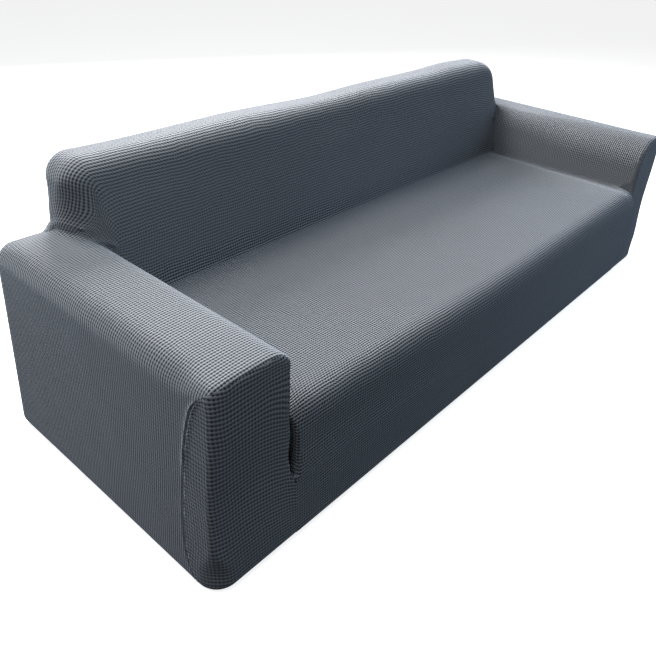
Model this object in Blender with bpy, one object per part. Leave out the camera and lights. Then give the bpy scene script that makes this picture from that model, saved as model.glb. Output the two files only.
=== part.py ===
"""A fitted stretch cover for a three-seat sofa, as it sits on the sofa, which is left out.

The skin of the covered sofa is a form made of rounded blocks: form() gives a point's distance
to it. Each panel of the cover is a grid of points on that form, the panels meet along shared
seams, and every panel becomes one sheet of real thickness with a small gap along its seams.

Metres, +Z up, +X along the sofa, the seat's front towards -Y.
"""

import math

import bpy
import numpy as np

# The whole cover
HEM_HALF = 1.121          # half the length at the hem, where the arms stand widest
ARM_TOP_HALF = 1.087      # half the length at the top of the arms
REAR_Y = 0.3995           # the outer face of the back
ARM_FRONT_AT_HEM = -0.391 # the front faces of the arms, which lean out towards the hem
ARM_FRONT_Y = -0.3745     # and their upper part
ARM_HEIGHT = 0.505
INNER_HALF = 0.887        # from the middle to an arm's inner side
INNER_SLANT = 0.020       # how much further out the right arm's inner side stands at its front
CLOTH = 0.0026            # thickness of the knit
SEAM_GAP = 0.0004         # between two panels' edges
HEM_TURN = 0.042          # how far the hem runs in under the sofa

# Rounded edges
ARM_OUTER_ROUND = 0.045
ARM_OUTER_CRISP = {-1: 0.018, 1: 0.035}    # at the front
ARM_INNER_ROUND = {-1: 0.054, 1: 0.092}    # at the front
ARM_REAR_ROUND = 0.055        # and where the back stands on the arms
FRONT_CORNER_ROUND = 0.055    # the arm's outer front corner, seen from above, at its foot
FRONT_CORNER_CRISP = 0.009    # and above it
FRONT_BOW = 0.006             # how far the front stands back at that corner
FRONT_BOW_WIDTH = 0.11
FRONT_LEAN_TOP = 0.28         # the height up to which the front faces lean out
FRONT_TOP_BACK = 0.003        # how far an arm's front leans back again at its top
FRONT_SEAM_ROUND = 0.014      # the crisp sewn edge over the arm's front
INNER_CORNER_ROUND = {-1: 0.03, 1: 0.016}
REAR_ROUND = 0.040           # of the arms and all up to their height
BACK_REAR_ROUND = 0.05       # of the back's top
HEM_ROUND = 0.03
LEAST_ROUND = 0.012

# The seat
SEAT_HEIGHT = 0.347
SEAT_FRONT_ROUND = 0.055
SEAT_CORNER_ROUND = 0.012 # and at its ends
SEAT_END_BACK = 0.026     # how far its front is drawn back towards its left end
SEAT_END_WIDTH = 0.9
SEAT_OVER = 0.007         # how far the seat's front reaches beyond the arms' inner sides
SEAT_INTO_ARM = 0.12      # how much further the seat runs on inside the arms
SEAT_FRONT_AT_HEM = -0.392
SEAT_FRONT_AT_TOP = -0.3995
SEAT_DIP = 0.010          # how much lower the seat is along the arms
SEAT_DIP_WIDTH = 0.07
SEAT_CREASE_Y = 0.203     # where the seat meets the back

# The back
BACK_HEIGHT = 0.686
BACK_FACE_TOP_Y = 0.262
BACK_HALF = 0.946
BACK_FLARE = 0.008        # how much wider the back is where it stands on the arms
BACK_BASE_ROUND = 0.098   # the back's front corners where they stand on the arms
BACK_CORNER_ROUND = 0.05  # and higher up
BACK_TOP_ROUND = {-1: 0.062, 1: 0.15}

# How softly the cloth runs through the inside corners
SEAT_FILLET = 0.012
SEAT_FILLET_LOW = 0.03     # below the tuck, where an arm's front runs on into the seat's
BACK_FILLET = 0.016
END_FILLET = 0.022

# The tuck between an arm's front and the seat's front
SLIT_HALF_WIDTH = 0.012
SLIT_HEAD_SHARE = 0.55    # of that width, near its head
SLIT_DEPTH = 0.045
SLIT_FOOT = 0.185
SLIT_HEAD = 0.33
SLIT_FILLET = 0.006

# Low swells of the stretched cloth
ARM_CROWN = 0.009
SEAT_SWELL = 0.004
SIDE_DRAW = 0.004
BACK_WAVES = (            # along the top front edge of the back: at x, width, height
    (-0.75, 0.15, -0.003),
    (-0.42, 0.10, 0.002),
    (-0.08, 0.16, -0.006),
    (0.65, 0.12, 0.005),
)

PROBE = 0.0002            # step for the form's slope
SETTLE_STEPS = 14
WELD = 1e-6               # points this close are one

SLATE = (0.075, 0.085, 0.1)


def mix(a, b, t):
    return a + (b - a) * t


def ramp(low, high, value):
    """0 below low, 1 above high, smooth between."""
    t = np.clip((value - low) / (high - low), 0.0, 1.0)
    return t * t * (3.0 - 2.0 * t)


def rounded(first, second, radius):
    """The intersection of two half spaces, given as distances, with a rounded edge."""
    a = first + radius
    b = second + radius
    outside = np.hypot(np.maximum(a, 0.0), np.maximum(b, 0.0))
    return outside + np.minimum(np.maximum(a, b), 0.0) - radius


def joined(first, second, fillet):
    """The union of two distances, with a fillet along the inside corner."""
    fillet = np.maximum(fillet, 1e-6)
    share = np.maximum(fillet - np.abs(first - second), 0.0) / fillet
    return np.minimum(first, second) - share * share * fillet / 4.0


def by_side(values, x):
    return np.where(x < 0.0, values[-1], values[1])


def arm_top_round(x, y):
    """The rounding along the top outer edge of an arm, which is crisp at the front."""
    return mix(by_side(ARM_OUTER_CRISP, x), ARM_OUTER_ROUND, ramp(0.01, 0.11, y - ARM_FRONT_Y))


def inner_half(x, y):
    """From the middle to an arm's inner side."""
    return INNER_HALF + by_side({-1: 0.0, 1: INNER_SLANT}, x) * (1 - ramp(ARM_FRONT_Y, 0.15, y))


def arm_rim(side_radius, y):
    """The rounding along the top inner edge of an arm."""
    return mix(side_radius, ARM_REAR_ROUND, ramp(-0.1, 0.16, y))


def arm_front_y(z):
    lean = mix(ARM_FRONT_AT_HEM, ARM_FRONT_Y, ramp(0.0, FRONT_LEAN_TOP, z))
    return lean + FRONT_TOP_BACK * ramp(0.38, ARM_HEIGHT, z)


def crisp_share(z):
    """1 where the arm's outer front corner is crisp, 0 at its foot."""
    return ramp(0.05, 0.14, z)


def front_corner_round(z):
    return mix(FRONT_CORNER_ROUND, FRONT_CORNER_CRISP, crisp_share(z))


def front_bow(outer, z):
    """How far an arm's front stands back, so far inside its outer side."""
    return FRONT_BOW * crisp_share(z) * np.clip(1 + outer / FRONT_BOW_WIDTH, 0.0, 1.0) ** 2


def arm_crown(x, y):
    """How much higher an arm's top stands than its edges."""
    across = np.clip((np.abs(x) - INNER_HALF) / (ARM_TOP_HALF - INNER_HALF), 0.0, 1.0)
    return ARM_CROWN * np.sin(np.pi * across) ** 0.6 * (1 - ramp(REAR_Y - 0.09, REAR_Y - 0.02, y))


def seat_front_y(z):
    return mix(SEAT_FRONT_AT_HEM, SEAT_FRONT_AT_TOP, ramp(0.0, FRONT_LEAN_TOP, z))


def rear_round(z):
    return mix(REAR_ROUND, BACK_REAR_ROUND, ramp(ARM_HEIGHT - 0.05, ARM_HEIGHT + 0.07, z))


def arms_block(x, y, z):
    """The two arms and all between them, up to the height of the arms."""
    inner = -well(x, y, z)
    outer = np.abs(x) - mix(HEM_HALF, ARM_TOP_HALF, z / ARM_HEIGHT)
    front = arm_front_y(z) + front_bow(outer, z) - y
    corner = by_side(INNER_CORNER_ROUND, x)
    # Above, an arm's top is rounded towards its sides first, then all of it towards its front
    top = z - ARM_HEIGHT - arm_crown(x, y)
    rim = arm_rim(by_side(ARM_INNER_ROUND, x), y)
    over = rounded(rounded(outer, top, arm_top_round(x, y)), inner, rim)
    edge = mix(corner, front_corner_round(z), ramp(0.94, 1.03, np.abs(x)))
    high = rounded(over, front, mix(edge, FRONT_SEAM_ROUND, ramp(0.45, 0.49, z)))
    # Below, the plan is rounded first, then its foot
    plan = rounded(outer, front, front_corner_round(z))
    low = rounded(rounded(plan, -z, HEM_ROUND), inner, corner)
    return rounded(np.where(z > ARM_HEIGHT / 2, high, low), y - REAR_Y, rear_round(z))


def back_face_y(z):
    return mix(SEAT_CREASE_Y, BACK_FACE_TOP_Y, (z - SEAT_HEIGHT) / (BACK_HEIGHT - SEAT_HEIGHT))


def well(x, y, z):
    """The space between the arms, over the seat: negative inside it."""
    sides = np.abs(x) - inner_half(x, y)
    return np.maximum(np.maximum(sides, SEAT_HEIGHT - 0.1 - z), y - back_face_y(z) - 0.02)


def seat_end_back(x, z):
    return SEAT_END_BACK * ramp(INNER_HALF - SEAT_END_WIDTH, INNER_HALF, -x) * ramp(0.02, 0.14, z)


def seat_block(x, y, z):
    near_arm = ramp(INNER_HALF - SEAT_DIP_WIDTH, INNER_HALF, np.abs(x))
    top = z - (SEAT_HEIGHT - SEAT_DIP * near_arm)
    high = z > SEAT_HEIGHT / 2
    edge = np.where(high, SEAT_FRONT_ROUND, HEM_ROUND)
    front = seat_front_y(z) + seat_end_back(x, z) - y
    section = rounded(front, np.where(high, top, -z), edge)
    into_arm = SEAT_INTO_ARM * ramp(ARM_FRONT_Y, ARM_FRONT_Y + 0.04, y)
    block = rounded(section, np.abs(x) - inner_half(x, y) - SEAT_OVER - into_arm, SEAT_CORNER_ROUND)
    return np.maximum(block, y - SEAT_CREASE_Y - 0.08)


def back_block(x, y, z):
    ends = np.abs(x) - BACK_HALF - BACK_FLARE * (1 - ramp(0.52, 0.62, z))
    section = rounded(ends, z - BACK_HEIGHT, by_side(BACK_TOP_ROUND, x))
    corner = mix(BACK_BASE_ROUND, BACK_CORNER_ROUND, ramp(0.56, 0.67, z))
    front = rounded(section, back_face_y(z) - y, corner)
    return np.maximum(rounded(front, y - REAR_Y, rear_round(z)), SEAT_HEIGHT - 0.1 - z)


def slit(x, y, z):
    """The dark tuck between an arm's front and the seat's front: negative inside it."""
    window = ramp(SLIT_FOOT - 0.03, SLIT_FOOT + 0.03, z) * (1 - ramp(SLIT_HEAD, SLIT_HEAD + 0.05, z))
    narrow = mix(1.0, SLIT_HEAD_SHARE, ramp(0.24, 0.32, z))
    across = (np.abs(x) - inner_half(x, y)) / np.maximum(SLIT_HALF_WIDTH * narrow * window, 1e-4)
    inwards = (y - ARM_FRONT_Y) / np.maximum(SLIT_DEPTH * window, 1e-4)
    return (np.hypot(across, inwards) - 1.0) * SLIT_HALF_WIDTH


def relief(x, y, z):
    """Low swells of the stretched cloth, in metres outwards."""
    on_seat = (1 - ramp(0.36, 0.40, z)) * ramp(0.30, 0.33, z) * (1 - ramp(0.80, 0.88, np.abs(x)))
    seat = SEAT_SWELL * on_seat * np.cos(np.pi * y / 0.8) * np.cos(np.pi * x / 2.1)
    on_back = ramp(0.56, 0.64, z) * (1 - ramp(0.86, 0.94, np.abs(x)))
    on_back *= 1 - ramp(0.36, 0.395, y) * (1 - ramp(0.63, 0.68, z))
    wave = sum(size * np.exp(-(((x - at) / wide) ** 2)) for at, wide, size in BACK_WAVES)
    side = ramp(1.0, 1.06, np.abs(x)) * np.sin(np.pi * np.clip(z / ARM_HEIGHT, 0, 1))
    return seat + on_back * wave - SIDE_DRAW * side * np.cos(np.pi * y / 0.8)


def form(points):
    """Distance from the skin of the covered sofa, negative inside."""
    x, y, z = np.moveaxis(np.asarray(points, float), -1, 0)
    arms = arms_block(x, y, z)
    fillet = ramp(0.04, 0.12, z) * mix(SEAT_FILLET_LOW, SEAT_FILLET, ramp(0.17, 0.22, z))
    seat = joined(arms, seat_block(x, y, z), fillet)
    seat = -joined(-seat, slit(x, y, z), SLIT_FILLET * ramp(0.1, 0.2, z))
    fillet = mix(BACK_FILLET, END_FILLET, ramp(BACK_HALF - 0.06, BACK_HALF, np.abs(x)))
    fillet *= 1 - ramp(REAR_Y - 0.05, REAR_Y - 0.01, y)
    whole = joined(seat, back_block(x, y, z), fillet)
    return whole - relief(x, y, z)


def outward(points):
    """Unit normals of the form."""
    slope = np.empty_like(points)
    for axis in range(3):
        step = np.zeros(3)
        step[axis] = PROBE
        slope[..., axis] = form(points + step) - form(points - step)
    return slope / np.maximum(np.linalg.norm(slope, axis=-1, keepdims=True), 1e-12)


def settled(points):
    """The points moved onto the form."""
    points = np.array(points, float)
    for _ in range(SETTLE_STEPS):
        distance = np.clip(form(points), -0.01, 0.01)
        points -= 0.8 * distance[..., None] * outward(points)
    return points


# Grid lines. An arm's lines run along it and are numbered from its hem, up the outer side, over
# the top and down to the seat. The crease, where the back stands on an arm, ends some of them.
HEM_LINES = (             # inset from the wall, height
    (HEM_TURN, 0.0),
    (HEM_ROUND, 0.0),
    (0.29 * HEM_ROUND, 0.29 * HEM_ROUND),
    (0.0, HEM_ROUND),
)
SIDE_LEVELS = (0.07, 0.12, 0.165, 0.20, 0.24, 0.285, 0.335, 0.38, 0.42, 0.455)
SEAM_ON_SIDE = (          # the seam round an arm's front, on the outer side: height, y
    (0.00, -0.330),
    (0.03, -0.322),
    (0.06, -0.305),
    (0.10, -0.294),
    (0.16, -0.289),
    (0.25, -0.290),
    (0.35, -0.297),
    (0.41, -0.306),
    (0.455, -0.320),
)
TOP_SEAM = (              # and over the arm's outer front corner: from the middle, behind the front, height
    (1.0880, 0.034, 0.4800),
    (1.0865, 0.025, 0.4910),
    (1.0840, 0.015, 0.5000),
    (1.0780, 0.006, 0.5060),
    (1.0580, 0.004, 0.5090),
)
CREASE = (                # from the back's corner to the rear: from the middle, y, drop below the arm's top
    (0.922, 0.232, 0.0),
    (0.926, 0.252, 0.0),
    (0.931, 0.274, 0.0),
    (0.937, 0.296, 0.0),
    (0.945, 0.316, 0.0),
    (0.955, 0.335, 0.0),
    (0.966, 0.351, 0.001),
    (0.978, 0.366, 0.004),
    (0.985, 0.380, 0.010),
    (0.988, 0.3928, 0.025),
)
INNER_SEAM = (0.003, 0.020, 0.028)         # how far behind the front the seam runs down the inner edge
OUTER_ROUND_STEPS = 4
INNER_ROUND_STEPS = 3
INNER_SIDE_STEPS = 3
OUTER_TOP_LINES = 2       # lines on an arm's top between its outer edge and the crease's rear end
SIDE_TOP = len(HEM_LINES) + len(SIDE_LEVELS) - 1
OUTER_TOP = SIDE_TOP + OUTER_ROUND_STEPS
CREASE_REAR = OUTER_TOP + OUTER_TOP_LINES
CREASE_FRONT = CREASE_REAR + len(CREASE) - 1
INNER_TOP = CREASE_FRONT + INNER_ROUND_STEPS
SEAT_LINE = INNER_TOP + INNER_SIDE_STEPS
TUCK_FOOT = 0.30          # where an arm's cloth, its front's and the seat's meet in the tuck

REAR_WRAP = math.radians(60)      # how far an arm's cloth and the back's run round the rear edges
ALONG_ARM = (0, 0.05, 0.12, 0.20, 0.29, 0.39, 0.50, 0.62, 0.73, 0.83, 0.93, 0.965, 1)
ALONG_SEAT = (0, 0.022, 0.05, 0.085, 0.13, 0.20, 0.29, 0.39, 0.50, 0.62, 0.74, 0.87, 1)
ROUND_FRONT = (0, 0.36, 0.72, 1, 1.08, 1.19, 1.31, 1.43, 1.55, 1.67, 1.78, 1.89, 2)    # its corner is at 1
FRONT_INNER_EDGE = 4      # last columns of an arm's front, round its inner edge
TOP_SEAM_CORNER = SIDE_TOP + 1    # the arm's line that meets the front panel's top outer corner
MAIN_ENDS = (0.0, 0.012, 0.030, 0.055, 0.088, 0.125, 0.165, 0.210)    # columns from an arm
END_COLUMNS = 3           # of those, the ones up the back's end face
CORNER_COLUMNS = 4        # and the ones round its top corner
MIDDLE_STEPS = 18
SEAT_LEVELS = 6           # of those levels, the ones below the seat's rounded front edge
SEAT_ROW = len(HEM_LINES) + SEAT_LEVELS    # the main panel's row where it meets an arm's cloth
FRONT_PULL = (1, 0.5)     # how far the end columns follow a row's end, on the front and the seat
SEAT_PULL = (1, 0.9, 0.8, 0.6, 0.4, 0.25, 0.1)
BACK_LEVELS = (0.385, 0.425, 0.465, 0.50, 0.535, 0.57, 0.605, 0.636)
BACK_TOP_PART = (0.5, 1.0)        # rows on the back's top between its two rounded edges
REAR_UPPER_STEPS = 5


def outer_at(height):
    return mix(HEM_HALF, ARM_TOP_HALF, height / ARM_HEIGHT)


def arm_profile(side):
    """An arm's lines: from the middle, height, outward direction (two numbers), hem inset."""
    rows = [(outer_at(height) - inset, height, 1, 0, inset) for inset, height in HEM_LINES]
    rows += [(outer_at(height), height, 1, 0, 0) for height in SIDE_LEVELS]
    for step in range(1, OUTER_ROUND_STEPS + 1):
        angle = step * math.pi / 2 / OUTER_ROUND_STEPS
        across = ARM_TOP_HALF - ARM_OUTER_ROUND * (1 - math.cos(angle))
        height = ARM_HEIGHT - ARM_OUTER_ROUND * (1 - math.sin(angle))
        rows.append((across, height, math.cos(angle), math.sin(angle), 0))
    inner = ARM_INNER_ROUND[side]
    steps = CREASE_FRONT - OUTER_TOP
    for step in range(1, steps + 1):
        last = float(inner_half(side, ARM_FRONT_Y)) + inner
        across = mix(ARM_TOP_HALF - ARM_OUTER_ROUND, last, step / steps)
        rows.append((across, ARM_HEIGHT, 0, 1, 0))
    for line in range(CREASE_FRONT + 1, SEAT_LINE + 1):
        rows.append((*inner_line(side, line, inner, ARM_FRONT_Y), 0, 1, 0))
    return rows


def inner_line(side, line, radius, y):
    """From the middle and height of a line over an arm's inner edge and down its inner side."""
    angle = min(line - CREASE_FRONT, INNER_ROUND_STEPS) * math.pi / 2 / INNER_ROUND_STEPS
    down = max(line - INNER_TOP, 0) / INNER_SIDE_STEPS
    across = float(inner_half(side, y)) + radius * (1 - math.sin(angle))
    height = ARM_HEIGHT - radius * (1 - math.cos(angle))
    return across, mix(height, TUCK_FOOT, down)


def front_seam(side, line, row):
    """Where the seam round the arm's front crosses a line: from the middle, y, height."""
    if line <= SIDE_TOP:
        return row[0], float(np.interp(row[1], *np.transpose(SEAM_ON_SIDE))), row[1]
    turn = line - TOP_SEAM_CORNER
    if turn < len(TOP_SEAM):
        across, behind, height = TOP_SEAM[turn]
        return across, float(arm_front_y(height)) + behind, height
    if line <= CREASE_FRONT:
        last = TOP_SEAM_CORNER + len(TOP_SEAM) - 1
        part = (line - last) / (CREASE_FRONT - last)
        inner = float(inner_half(side, ARM_FRONT_Y)) + ARM_INNER_ROUND[side]
        across = mix(TOP_SEAM[-1][0], inner, part)
        height = TOP_SEAM[-1][2]
        return across, float(arm_front_y(height)) + 0.003, height
    inwards = np.interp(line, (CREASE_FRONT, INNER_TOP, SEAT_LINE), INNER_SEAM)
    return row[0], float(arm_front_y(row[1])) + float(inwards), row[1]


def round_the_rear(start, row, part):
    """A point of an arm's line that runs on round the rear edge: from the middle, y, height."""
    across, height, out_across, out_up, inset = row
    radius = max(REAR_ROUND - inset, LEAST_ROUND)
    straight = REAR_Y - inset - radius - start
    length = part * (straight + radius * REAR_WRAP)
    angle = max(length - straight, 0) / radius
    shift = radius * (1 - math.cos(angle))
    y = start + min(length, straight) + radius * math.sin(angle)
    return across - out_across * shift, y, height - out_up * shift


def arm_point(side, line, row, start, part):
    """A point of an arm's line: part runs from 0 at the front seam to 1 at the line's end."""
    across, y, z = round_the_rear(start, row, part)
    late = float(ramp(0.3, 1.0, part))
    if OUTER_TOP < line <= CREASE_REAR:
        first = ARM_TOP_HALF - ARM_OUTER_ROUND
        end = mix(first, CREASE[-1][0], (line - OUTER_TOP) / OUTER_TOP_LINES)
        return mix(across, end, late), y, z
    if CREASE_REAR < line <= CREASE_FRONT:
        end, end_y, drop = CREASE[CREASE_FRONT - line]
        z = row[1] - drop * float(ramp(0.85, 1.0, part))
        return mix(row[0], end, late), mix(start, end_y, part), z
    if line > CREASE_FRONT:
        y = mix(start, float(back_face_y(row[1])), part)
        across, z = inner_line(side, line, float(arm_rim(ARM_INNER_ROUND[side], y)), y)
        lift = SEAT_HEIGHT - SEAT_DIP - TUCK_FOOT
        lift *= float(ramp(0.0, 0.05, part)) * float(ramp(INNER_TOP, SEAT_LINE, line))
        z += lift
        return across, mix(start, float(back_face_y(z)), part), z
    return across, y, z


def arm_grid(side):
    """Points [line, step], from the front seam to the rear edge, the crease or the back."""
    grid = np.zeros((SEAT_LINE + 1, len(ALONG_ARM), 3))
    for line, row in enumerate(arm_profile(side)):
        seam = front_seam(side, line, row)
        first = arm_point(side, line, row, seam[1], 0.0)
        seat_share = float(ramp(CREASE_FRONT, SEAT_LINE, line))
        for step, parts in enumerate(zip(ALONG_ARM, ALONG_SEAT)):
            part = mix(*parts, seat_share)
            early = 1 - float(ramp(0.0, 0.25, part))
            point = arm_point(side, line, row, seam[1], part)
            grid[line, step] = [a + early * (b - c) for a, b, c in zip(point, seam, first)]
    grid[:, :, 0] *= side
    return settled(grid)


def plan_round_front(height, inset, length):
    """A point of the front panel's contour seen from above, from the front corner's start."""
    corner = float(front_corner_round(height))
    radius = corner - inset
    middle_across = outer_at(height) - corner
    middle_y = float(arm_front_y(height)) + corner
    arc = radius * math.pi / 2
    angle = min(max(length / radius, 0), math.pi / 2)
    across = middle_across + radius * math.cos(angle) - max(length - arc, 0)
    y = middle_y - radius * math.sin(angle) + max(-length, 0)
    return across, y


def slit_depth(height):
    return SLIT_DEPTH * float(ramp(SLIT_FOOT - 0.02, SLIT_FOOT + 0.03, height))


def front_grid(side, arm):
    """The arm's front panel, points [row, column]: rows from the hem up, columns inwards."""
    levels = [(inset, height) for inset, height in HEM_LINES] + [(0.0, level) for level in SIDE_LEVELS]
    columns = len(ROUND_FRONT) + FRONT_INNER_EDGE
    grid = np.zeros((len(levels) + 1, columns, 3))
    for row, (inset, height) in enumerate(levels):
        seam_y = arm[row, 0, 1]
        front_y = float(arm_front_y(height))
        corner = float(front_corner_round(height))
        corner_y = front_y + corner
        reach = min(max((corner_y - seam_y) / corner, 0), 1)
        radius = corner - inset
        first = math.asin(reach) * radius if seam_y < corner_y else corner_y - seam_y
        arc = radius * math.pi / 2
        inner = float(inner_half(side, ARM_FRONT_Y))
        last = arc + outer_at(height) - corner - inner - 0.040
        for column, part in enumerate(ROUND_FRONT):
            length = mix(first, arc / 2, part) if part < 1 else mix(arc / 2, last, part - 1)
            across, y = plan_round_front(height, inset, length)
            grid[row, column] = side * across, y, height
        depth = slit_depth(height)
        above = float(ramp(TUCK_FOOT, 0.36, height))
        turn = INNER_CORNER_ROUND[side]
        edge = (              # in the tuck: from the arm's side, inwards; above it: the same
            (0.022, 0.0, turn, 0.0),
            (0.0125, 0.08 * depth, 0.5 * turn, 0.13 * turn),
            (0.0075, 0.45 * depth, 0.13 * turn, 0.5 * turn),
            (0.0, depth, 0.0, 0.93 * turn),
        )
        for step, (low_in, low_back, high_in, high_back) in enumerate(edge):
            across = inner + mix(low_in, high_in, above)
            y = front_y + inset + mix(low_back, high_back, above)
            grid[row, len(ROUND_FRONT) + step] = side * across, y, height
    grid = settled(grid)
    grid[:-1, 0] = arm[: len(levels), 0]
    grid[-1] = arm[TOP_SEAM_CORNER : TOP_SEAM_CORNER + columns, 0]
    above = SEAT_LINE - (TOP_SEAM_CORNER + columns - 1)
    grid[-1 - above :, -1] = arm[SEAT_LINE - above : SEAT_LINE + 1, 0][::-1]
    return grid


def main_profile():
    """The main panel's rows in the middle of the sofa, (y, height), from the hem to the crease."""
    rows = [(SEAT_FRONT_AT_HEM + inset, height) for inset, height in HEM_LINES]
    rows += [(float(seat_front_y(height)), height) for height in SIDE_LEVELS[:SEAT_LEVELS]]
    for step in range(1, 6):
        angle = step * math.pi / 10
        y = SEAT_FRONT_AT_TOP + SEAT_FRONT_ROUND * (1 - math.cos(angle))
        rows.append((y, SEAT_HEIGHT - SEAT_FRONT_ROUND * (1 - math.sin(angle))))
    first = SEAT_FRONT_AT_TOP + SEAT_FRONT_ROUND
    for part in ALONG_SEAT[5:]:
        share = (part - ALONG_SEAT[4]) / (1 - ALONG_SEAT[4])
        rows.append((mix(first, SEAT_CREASE_Y, share), SEAT_HEIGHT))
    return rows


def arch_rows():
    """The rows that run up the back's ends and over it: y, inset from its outline."""
    rows = []
    for step in range(4):
        angle = step * math.pi / 6
        inset = BACK_REAR_ROUND * (1 - math.sin(angle))
        y = float(back_face_y(BACK_HEIGHT - inset)) + BACK_REAR_ROUND * (1 - math.cos(angle))
        rows.append((y, inset))
    first, last = rows[-1][0], REAR_Y - BACK_REAR_ROUND
    rows += [(mix(first, last, part), 0.0) for part in BACK_TOP_PART]
    for step in (1, 2):
        angle = step * math.pi / 6
        rows.append((last + BACK_REAR_ROUND * math.sin(angle), BACK_REAR_ROUND * (1 - math.cos(angle))))
    return rows


def straight_row(y, height, left, right, pull):
    """A row from arm to arm; pull says how far each end column follows the row's end."""
    first = [offset - float(inner_half(-1, y)) for offset in MAIN_ENDS]
    last = [float(inner_half(1, y)) - offset for offset in reversed(MAIN_ENDS)]
    middle = list(np.linspace(first[-1], last[0], MIDDLE_STEPS + 1))[1:-1]
    across = first + middle + last
    row = np.array([(x, y, height) for x in across])
    for column, share in enumerate(pull):
        row[column, 1] = mix(y, left[1], share)
        row[-1 - column, 1] = mix(y, right[1], share)
    row[0], row[-1] = left, right
    return row


def arch_half(side, y, inset, foot):
    """The columns of one end of an arched row, from the crease to the top of the back."""
    across = BACK_HALF - inset
    top = BACK_HEIGHT - inset
    radius = max(BACK_TOP_ROUND[side] - inset, 0.02)
    points = [tuple(foot)]
    for part, share in ((0.4, 0.45), (0.72, 0.15)):
        points.append((side * across, mix(y, foot[1], share), mix(foot[2], top - radius, part)))
    for step in range(CORNER_COLUMNS + 1):
        angle = step * math.pi / 2 / CORNER_COLUMNS
        x = across - radius * (1 - math.cos(angle))
        points.append((side * x, y, top - radius * (1 - math.sin(angle))))
    return points


def arch_row(y, inset, left, right):
    first = arch_half(-1, y, inset, left)
    last = arch_half(1, y, inset, right)
    across = np.linspace(first[-1][0], last[-1][0], MIDDLE_STEPS + 1)[1:-1]
    middle = [(x, y, BACK_HEIGHT - inset) for x in across]
    return np.array(first + middle + last[::-1])


def main_grid(fronts, arms):
    """The seat's front, the seat and the back, points [row, column], columns from -X to +X."""
    edges = {}
    for side in (-1, 1):
        low = fronts[side][: SEAT_ROW, -1]
        along = arms[side][SEAT_LINE]
        up = arms[side][CREASE_REAR:SEAT_LINE, -1][::-1]
        edges[side] = np.concatenate([low, along, up])
    rows = []
    for index, (y, height) in enumerate(main_profile()):
        pull = FRONT_PULL if index < SEAT_ROW + 5 else SEAT_PULL
        rows.append(straight_row(y, height, edges[-1][index], edges[1][index], pull))
    for height in BACK_LEVELS[:3]:
        index = len(rows)
        y = float(back_face_y(height))
        rows.append(straight_row(y, height, edges[-1][index], edges[1][index], ()))
    base = len(rows) - 1
    first_arch = base + len(BACK_LEVELS) - 3
    arches = []
    for step, (y, inset) in enumerate(arch_rows()):
        index = first_arch + step
        arches.append(arch_row(y, inset, edges[-1][index], edges[1][index]))
    for index in range(base + 1, first_arch):
        share = (index - base) / (first_arch - base)
        row = mix(rows[base], arches[0], share)
        row[0], row[-1] = edges[-1][index], edges[1][index]
        rows.append(row)
    grid = settled(np.array(rows + arches))
    grid[:, 0], grid[:, -1] = edges[-1], edges[1]
    return grid


def blended(left, right, bottom, top):
    """A grid [row, column] between four edges that share their corners."""
    rows = np.linspace(0, 1, len(left))[:, None, None]
    columns = np.linspace(0, 1, len(bottom))[None, :, None]
    along = mix(left[:, None], right[:, None], columns)
    up = mix(bottom[None], top[None], rows)
    corners = mix(mix(bottom[0], bottom[-1], columns), mix(top[0], top[-1], columns), rows)
    return along + up - corners


def rear_grids(arms, main):
    """The outer back: the part between the floor and the arms' height, and the part above."""
    last = main[-1]
    side_steps = REAR_UPPER_STEPS
    over = last[side_steps : len(last) - side_steps]
    foot = np.linspace(last[0], last[-1], len(over))
    lines = TOP_SEAM_CORNER + 2
    left, right = arms[-1][:lines, -1], arms[1][:lines, -1]
    left_top = arms[-1][lines - 1 : CREASE_REAR + 1, -1]
    right_top = arms[1][lines - 1 : CREASE_REAR + 1, -1][::-1]
    top = np.concatenate([left_top, foot[1:-1], right_top])
    share = ((top[:, 0] - top[0, 0]) / (top[-1, 0] - top[0, 0]))[None, :, None]
    lower = mix(left[:, None], right[:, None], share)
    levels = HEM_LINES + tuple((0.0, height) for height in SIDE_LEVELS)
    for row, (inset, height) in enumerate(levels):
        lower[row, 1:-1, 1] = REAR_Y - inset
        lower[row, 1:-1, 2] = height
    lower[-1] = top
    lower[-2, 1:-1] = mix(lower[-3, 1:-1], top[1:-1], 0.5)
    upper = blended(last[: side_steps + 1], last[::-1][: side_steps + 1], foot, over)
    lower, upper = settled(lower), settled(upper)
    lower[:, 0], lower[:, -1] = left, right
    lower[-1, : len(left_top)] = left_top
    lower[-1, -len(right_top) :] = right_top
    upper[0] = lower[-1, len(left_top) - 1 : 1 - len(right_top) or None]
    upper[:, 0], upper[:, -1] = last[: side_steps + 1], last[::-1][: side_steps + 1]
    upper[-1] = over
    return [lower, upper]


def stitched(grids):
    """One list of points and triangles from grids that share some points."""
    points, quads, known = [], [], {}
    for grid in grids:
        index = np.zeros(grid.shape[:2], int)
        for place in np.ndindex(grid.shape[:2]):
            key = tuple(np.round(grid[place] / WELD).astype(int))
            if key not in known:
                known[key] = len(points)
                points.append(grid[place])
            index[place] = known[key]
        around = (index[:-1, :-1], index[:-1, 1:], index[1:, 1:], index[1:, :-1])
        quads.append(np.stack(around, axis=-1).reshape(-1, 4))
    return np.array(points), split(np.array(points), np.concatenate(quads))


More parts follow.
